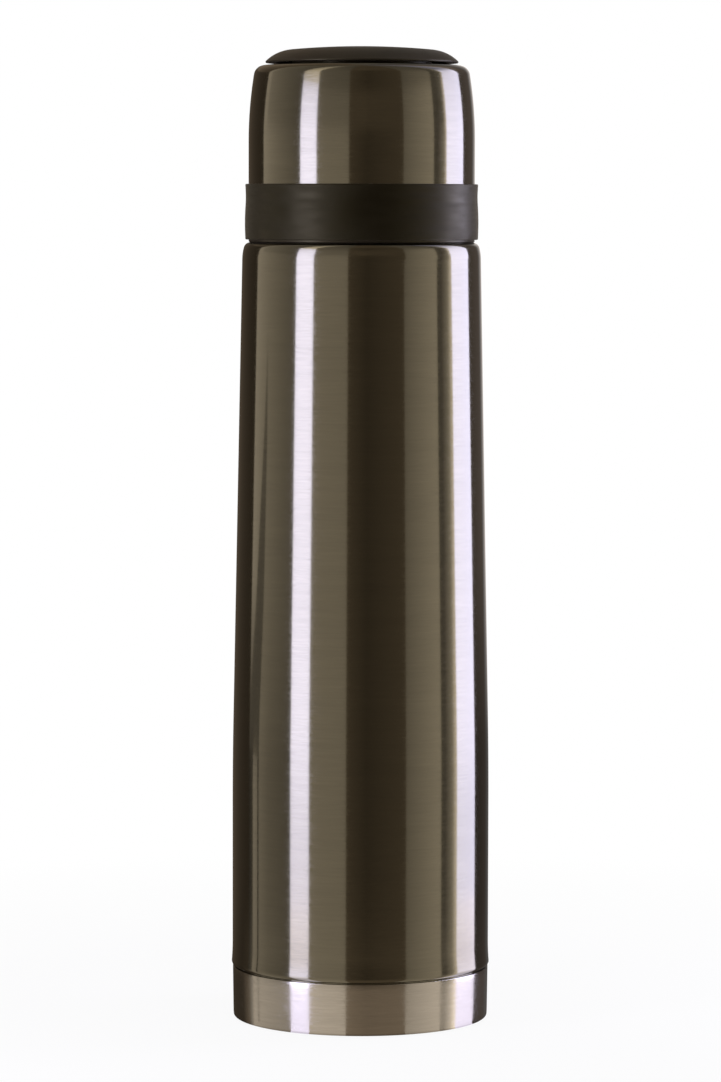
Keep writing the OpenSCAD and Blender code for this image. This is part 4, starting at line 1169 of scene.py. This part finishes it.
# Stand before the left side card: azimuths of its post, the line that runs to the post along the floor as
# (place, tone), the arm from the post's top up as (height, azimuths of both edges, tone), and how far out on
# the way to the ring it stands
POST = (-106.4, -104.8)
POST_LINE = [(0.03, 0.22), (0.38, 0.22), (0.45, 0.03), (1, 0.0)]
ARM = [
    (0.06, *POST, 0.0), (0.062, -119.9, -104.6, 0.16), (0.082, -119.9, -104.1, 0.17),
    (0.12, -112.6, -100.8, 0.2), (0.159, -107.6, -99.9, 0.21), (0.185, -103.9, -99.4, 0.22),
    (0.215, -101.2, -100.4, 0.3),
]
STAND_RING = 0.97

# Floor, what lies on it, and the distances from the axis between which its white stops taking a shadow
FLOOR_HALF = 8.0
FLOOR_PAINT = (0.85, 0.85, 0.85, 1)
FLOOR_DROP = 0.05 * MM
CARD_LIFT = 0.06 * MM
STAND_LIFT = 0.1 * MM
SHADOW_NEAR = 0.14
SHADOW_FAR = 0.38

# Widest slice of a card in degrees, half the height over which its edge steps sideways, and how far the paths
# of light stay outside the body and inside the base cap's foot
CARD_SLICE = 4
SPLIT_EASE = 10 * MM
BODY_CLEAR = 0.4 * MM
FOOT_INSET = 0.7 * MM


def card_edge(azimuth, ring):
    """Where light towards an azimuth leaves the base and the body, its direction and its reach."""
    body = bpy.context.scene.flask_body
    facing = math.radians(azimuth) / 2
    heading = math.radians(azimuth)
    out = Vector((math.sin(facing), -math.cos(facing)))
    start = out * (body.body_radius + BODY_CLEAR)
    along = Vector((math.sin(heading), -math.cos(heading)))
    ahead = start.dot(along)
    reach = -ahead + math.sqrt(ahead * ahead - start.dot(start) + ring * ring)
    return out * (body.cap_foot_radius - FOOT_INSET), start, along, reach


def light(hue, tone):
    """A hue at a tone, as a colour with alpha."""
    return [h * tone for h in hue] + [1.0]


def grid_faces(slices, rows):
    """Faces of a grid whose points are listed slice by slice."""
    corners = [k * rows + i for k in range(slices) for i in range(rows - 1)]
    return [(a, a + 1, a + 1 + rows, a + rows) for a in corners]


def glow_mesh(name, verts, faces, glow):
    """A mesh that carries the light that each of its points gives."""
    mesh = bpy.data.meshes.new(name)
    mesh.from_pydata(verts, [], faces)
    layer = mesh.color_attributes.new("glow", "FLOAT_COLOR", "POINT")
    for point, value in zip(layer.data, glow):
        point.color = value
    return mesh


def row(kind, place, plain=0, **shares):
    """A row of a card's points: its share of the way to the ring or its height, and its tones."""
    return kind, place, plain, shares


def card_mesh(name, start, end, rows, hue, tones):
    """A card that runs through its rows, on the floor, up the ring's wall and to the middle overhead."""
    studio = bpy.context.scene.flask_studio
    starts, ends = [side if isinstance(side, tuple) else (side, side) for side in (start, end)]
    slices = max(2, math.ceil((ends[0] - starts[0]) / CARD_SLICE))
    verts, glow = [], []
    for k in range(slices + 1):
        part = k / slices
        lower, upper = [card_edge(a + (b - a) * part, studio.ring) for a, b in zip(starts, ends)]
        for kind, place, plain, shares in rows:
            foot, origin, along, reach = upper if kind == "wall" and place > studio.split else lower
            spot = {"foot": foot, "floor": origin + along * reach * place, "wall": origin + along * reach,
                    "middle": Vector((0, 0))}[kind]
            verts.append((spot.x, spot.y, place if kind in ("wall", "middle") else CARD_LIFT))
            mixed = [w * (tones[n][0] + (tones[n][1] - tones[n][0]) * part) for n, w in shares.items()]
            glow.append(light(hue, plain + sum(mixed)))
    return glow_mesh(name, verts, grid_faces(slices, len(rows)), glow)


def floor_rows():
    """Rows of the part on the floor, up to the foot of the wall."""
    return [row("foot", 0, floor=0.6), row("floor", 0.002, floor=0.95), row("floor", 0.03, floor=1),
            row("floor", 0.38, floor=1), row("floor", 0.42, floor=0.5, low=0.5), row("wall", 0.0, low=1)]


def top_rows(studio):
    """Rows above the standing part, and across to the middle overhead."""
    top = studio.card_top
    return [row("wall", top, crown=1), row("wall", top + 0.025, crown=1), row("wall", top + 0.155, sky=1),
            row("wall", studio.lid_height, 0.05, sky=0.6), row("middle", studio.lid_height, studio.ceiling)]


def split_rows(studio):
    """Rows of full tone about the split and up to the shoulder."""
    places = (studio.split - SPLIT_EASE, studio.split + SPLIT_EASE, studio.shoulder)
    return [row("wall", place, wall=1) for place in places]


def card_rows(studio):
    """All the rows of a plain card."""
    return (floor_rows() + [row("wall", 0.06, low=1), row("wall", 0.13, wall=1)] + split_rows(studio)
            + [row("wall", studio.shoulder + 0.012, high=1), row("wall", studio.card_top - 0.015, high=1)]
            + top_rows(studio))


def lamp_rows(studio):
    """Rows of a lamp's standing part, which lights the flask."""
    return ([row("wall", 0.0, wall=0.8), row("wall", 0.03, wall=0.82), row("wall", 0.07, wall=1)]
            + split_rows(studio)
            + [row("wall", studio.card_top - 0.015, wall=0.82), row("wall", studio.card_top, wall=0.7)])


def back_card(studio):
    """Card straight behind the flask, between the two flags: pale below, dark above the cup."""
    half = bpy.context.scene.flask_body.body_radius + 0.5 * MM
    tones = [(0.0, 0.3), (0.24, 0.3), (0.27, 0.1), (studio.lid_height * 0.6, 0.16), (studio.lid_height, 0.2)]
    verts = [(x, studio.ring, z) for z, tone in tones for x in (-half, half)] + [(0, 0, studio.lid_height)]
    last = len(verts) - 3
    faces = grid_faces(len(tones) - 1, 2) + [(last, last + 1, last + 2)]
    shades = [tone for z, tone in tones for side in range(2)] + [studio.ceiling]
    return glow_mesh("back card", verts, faces, [light(CARD_HUE, tone) for tone in shades])


def stand_mesh(studio):
    """A slanting arm on a thin post, and the line that runs to the post along the floor."""
    rows = [(place, STAND_LIFT, *POST, tone) for place, tone in POST_LINE] + [(1, *step) for step in ARM]
    verts, glow = [], []
    for place, height, left, right, tone in rows:
        for azimuth in (left, right):
            foot, origin, along, reach = card_edge(azimuth, studio.ring * STAND_RING)
            spot = origin + along * reach * place
            verts.append((spot.x, spot.y, height))
            glow.append(light(CARD_HUE, tone))
    return glow_mesh("stand", verts, grid_faces(len(rows) - 1, 2), glow)


def glow_material(name):
    """Light from a card, with its tone from the mesh."""
    material = bpy.data.materials.new(name)
    tree, surface = empty_tree(material)
    emission = tree.nodes.new("ShaderNodeEmission")
    tone = tree.nodes.new("ShaderNodeAttribute")
    tone.attribute_name = "glow"
    tree.links.new(tone.outputs["Color"], emission.inputs["Color"])
    tree.links.new(emission.outputs["Emission"], surface)
    return material


def stage_object(name, mesh, material):
    """A mesh that belongs to the studio."""
    mesh.materials.append(material)
    made = bpy.data.objects.new(name, mesh)
    bpy.context.scene.collection.objects.link(made)
    return made


def make_cards():
    """Cards, lamps and a stand round the flask, which only its reflections see; the lamps also light it."""
    studio = bpy.context.scene.flask_studio
    material = glow_material("card_light")
    cards, lamps = [], []
    for name, start, end, hue, tones in CARDS:
        if "wall" in tones:
            tones = {"low": tones["wall"], "high": tones["wall"], "crown": tones["wall"], **tones}
            tones = {"sky": tones["high"], **tones}
            rows = card_rows(studio)
        else:
            rows = floor_rows() if "floor" in tones else top_rows(studio)
        cards.append(stage_object(name, card_mesh(name, start, end, rows, hue, tones), material))
    for name, start, end, tone in LAMPS:
        mesh = card_mesh(name, start, end, lamp_rows(studio), LAMP_HUE, {"wall": tone})
        lamps.append(stage_object(name, mesh, material))
    cards.append(stage_object("back card", back_card(studio), material))
    cards.append(stage_object("stand", stand_mesh(studio), material))
    for card in cards:
        card.visible_diffuse = False
        card.visible_transmission = False
    for card in cards + lamps:
        card.visible_camera = False
        card.visible_shadow = False
        card.visible_volume_scatter = False


def show_white(tree, plain, white, amount, surface):
    """Shows an amount of white over a plain shader to rays from the camera, from gloss and through glass."""
    path = tree.nodes.new("ShaderNodeLightPath")
    seen = maths(tree, "MAXIMUM", path.outputs["Is Camera Ray"], path.outputs["Is Glossy Ray"])
    seen = maths(tree, "MAXIMUM", seen, path.outputs["Is Transmission Ray"])
    mix = tree.nodes.new("ShaderNodeMixShader")
    tree.links.new(maths(tree, "MULTIPLY", seen, amount), mix.inputs[0])
    tree.links.new(plain.outputs[0], mix.inputs[1])
    tree.links.new(white.outputs[0], mix.inputs[2])
    tree.links.new(mix.outputs[0], surface)


def make_floor():
    """Plain white floor that keeps the flask's shadow."""
    studio = bpy.context.scene.flask_studio
    half = FLOOR_HALF
    corners = [(-half, -half, 0), (half, -half, 0), (half, half, 0), (-half, half, 0)]
    mesh = bpy.data.meshes.new("floor")
    mesh.from_pydata(corners, [], [(0, 1, 2, 3)])
    material = bpy.data.materials.new("white_floor")
    tree, surface = empty_tree(material)
    paint = tree.nodes.new("ShaderNodeBsdfDiffuse")
    paint.inputs["Color"].default_value = FLOOR_PAINT
    white = tree.nodes.new("ShaderNodeEmission")
    away = tree.nodes.new("ShaderNodeVectorMath")
    away.operation = "LENGTH"
    tree.links.new(object_place(tree), away.inputs[0])
    amount = span(tree, away.outputs["Value"], studio.white_share, 1.0, SHADOW_NEAR, SHADOW_FAR)
    show_white(tree, paint, white, amount, surface)
    stage_object("floor", mesh, material).location.z = -FLOOR_DROP


def make_world():
    """Plain light from all round, and a white background where it is seen."""
    world = bpy.data.worlds.new("studio")
    bpy.context.scene.world = world
    tree, surface = empty_tree(world, "ShaderNodeOutputWorld")
    plain = tree.nodes.new("ShaderNodeBackground")
    white = tree.nodes.new("ShaderNodeBackground")
    plain.inputs["Strength"].default_value = bpy.context.scene.flask_studio.world_light
    for background in (plain, white):
        background.inputs["Color"].default_value = (1, 1, 1, 1)
    show_white(tree, plain, white, 1, surface)


def make_top_light():
    """Large soft lamp overhead, for the upper faces and the floor."""
    studio = bpy.context.scene.flask_studio
    data = bpy.data.lights.new("top light", "AREA")
    data.shape = "DISK"
    data.size = studio.top_light_size
    data.energy = studio.top_light_power
    lamp = bpy.data.objects.new("top light", data)
    lamp.location = (0, 0, studio.top_light_height)
    lamp.visible_camera = False
    lamp.visible_glossy = False
    bpy.context.scene.collection.objects.link(lamp)


def make_camera():
    """Camera in front of the flask, looking a little down."""
    studio = bpy.context.scene.flask_studio
    data = bpy.data.cameras.new("camera")
    data.lens = studio.lens
    data.sensor_width = 36
    camera = bpy.data.objects.new("camera", data)
    pitch = Matrix.Rotation(math.pi / 2 - studio.camera_pitch, 4, "X")
    roll = Matrix.Rotation(studio.camera_roll, 4, "Z")
    place = Vector((-studio.camera_side, -studio.camera_distance, studio.camera_height))
    camera.matrix_world = Matrix.Translation(place) @ (pitch @ roll)
    bpy.context.scene.collection.objects.link(camera)
    bpy.context.scene.camera = camera


# ---------------------------------------------------------------- Operators

class FLASK_OT_body(Operator):
    """Make the lacquered outer sheet and the bare neck"""
    bl_idname = "flask.body"
    bl_label = "Body and neck"

    def execute(self, context):
        make_body_shell()
        make_neck()
        return {"FINISHED"}


class FLASK_OT_vessel(Operator):
    """Make the inner vessel"""
    bl_idname = "flask.vessel"
    bl_label = "Inner vessel"

    def execute(self, context):
        make_vessel()
        return {"FINISHED"}


class FLASK_OT_base(Operator):
    """Make the bare steel base cap"""
    bl_idname = "flask.base"
    bl_label = "Base cap"

    def execute(self, context):
        make_base_cap()
        return {"FINISHED"}


class FLASK_OT_threads(Operator):
    """Make the screw threads of neck, cup, mouth and plug"""
    bl_idname = "flask.threads"
    bl_label = "Threads"

    def execute(self, context):
        make_threads()
        return {"FINISHED"}


class FLASK_OT_stopper(Operator):
    """Make the stopper's head and its silicone ring"""
    bl_idname = "flask.stopper"
    bl_label = "Stopper"

    def execute(self, context):
        make_stopper_head()
        make_gasket_ring()
        return {"FINISHED"}


class FLASK_OT_valve(Operator):
    """Make the push button, its spring and the valve that it moves"""
    bl_idname = "flask.valve"
    bl_label = "Button and valve"

    def execute(self, context):
        make_button()
        make_spring()
        make_valve()
        return {"FINISHED"}


class FLASK_OT_cup(Operator):
    """Make the cup's steel skin and its liner"""
    bl_idname = "flask.cup"
    bl_label = "Cup"

    def execute(self, context):
        make_cup_skin()
        make_liner()
        return {"FINISHED"}


class FLASK_OT_band(Operator):
    """Make the grip band"""
    bl_idname = "flask.band"
    bl_label = "Grip band"

    def execute(self, context):
        make_band()
        return {"FINISHED"}


class FLASK_OT_disc(Operator):
    """Make the disc on the cup's top"""
    bl_idname = "flask.disc"
    bl_label = "Cup disc"

    def execute(self, context):
        make_disc()
        return {"FINISHED"}


class FLASK_OT_inner_parts(Operator):
    """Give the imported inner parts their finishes"""
    bl_idname = "flask.inner_parts"
    bl_label = "Inner parts"

    def execute(self, context):
        dress_inner_parts()
        return {"FINISHED"}


class FLASK_OT_stage(Operator):
    """Make the floor, the cards, the lights and the camera"""
    bl_idname = "flask.stage"
    bl_label = "Studio"

    def execute(self, context):
        make_floor()
        make_world()
        make_cards()
        make_top_light()
        make_camera()
        context.scene.view_settings.view_transform = "Standard"
        return {"FINISHED"}


GROUPS = {
    "flask_body": FlaskBodySizes, "flask_stopper": FlaskStopperSizes, "flask_cup": FlaskCupSizes,
    "flask_threads": FlaskThreadSizes, "flask_finishes": FlaskFinishes, "flask_studio": FlaskStudio,
}
OPERATORS = (FLASK_OT_body, FLASK_OT_vessel, FLASK_OT_base, FLASK_OT_threads, FLASK_OT_stopper,
             FLASK_OT_valve, FLASK_OT_cup, FLASK_OT_band, FLASK_OT_disc, FLASK_OT_inner_parts, FLASK_OT_stage)


class FLASK_PT_panel(Panel):
    """Buttons for each piece, and the sizes and colours"""
    bl_idname = "FLASK_PT_panel"
    bl_label = "Vacuum flask"
    bl_space_type = "VIEW_3D"
    bl_region_type = "UI"
    bl_category = "Flask"

    def draw(self, context):
        column = self.layout.column(align=True)
        for operator in OPERATORS:
            column.operator(operator.bl_idname)
        for name in GROUPS:
            box = self.layout.box()
            group = getattr(context.scene, name)
            for key in group.__annotations__:
                box.prop(group, key)


def register():
    """Registers the classes and hangs the sizes on the scene."""
    for name, group in GROUPS.items():
        bpy.utils.register_class(group)
        setattr(bpy.types.Scene, name, PointerProperty(type=group))
    for made in (*OPERATORS, FLASK_PT_panel):
        bpy.utils.register_class(made)


def unregister():
    """Undoes register."""
    for made in (FLASK_PT_panel, *reversed(OPERATORS)):
        bpy.utils.unregister_class(made)
    for name, group in reversed(GROUPS.items()):
        delattr(bpy.types.Scene, name)
        bpy.utils.unregister_class(group)


def main():
    """Builds every piece and the studio."""
    register()
    for operator in OPERATORS:
        step = getattr(bpy.ops.flask, operator.bl_idname.split(".")[1])
        if step() != {"FINISHED"}:
            raise RuntimeError(f"{operator.bl_label} was not made")


if __name__ == "__main__":
    main()
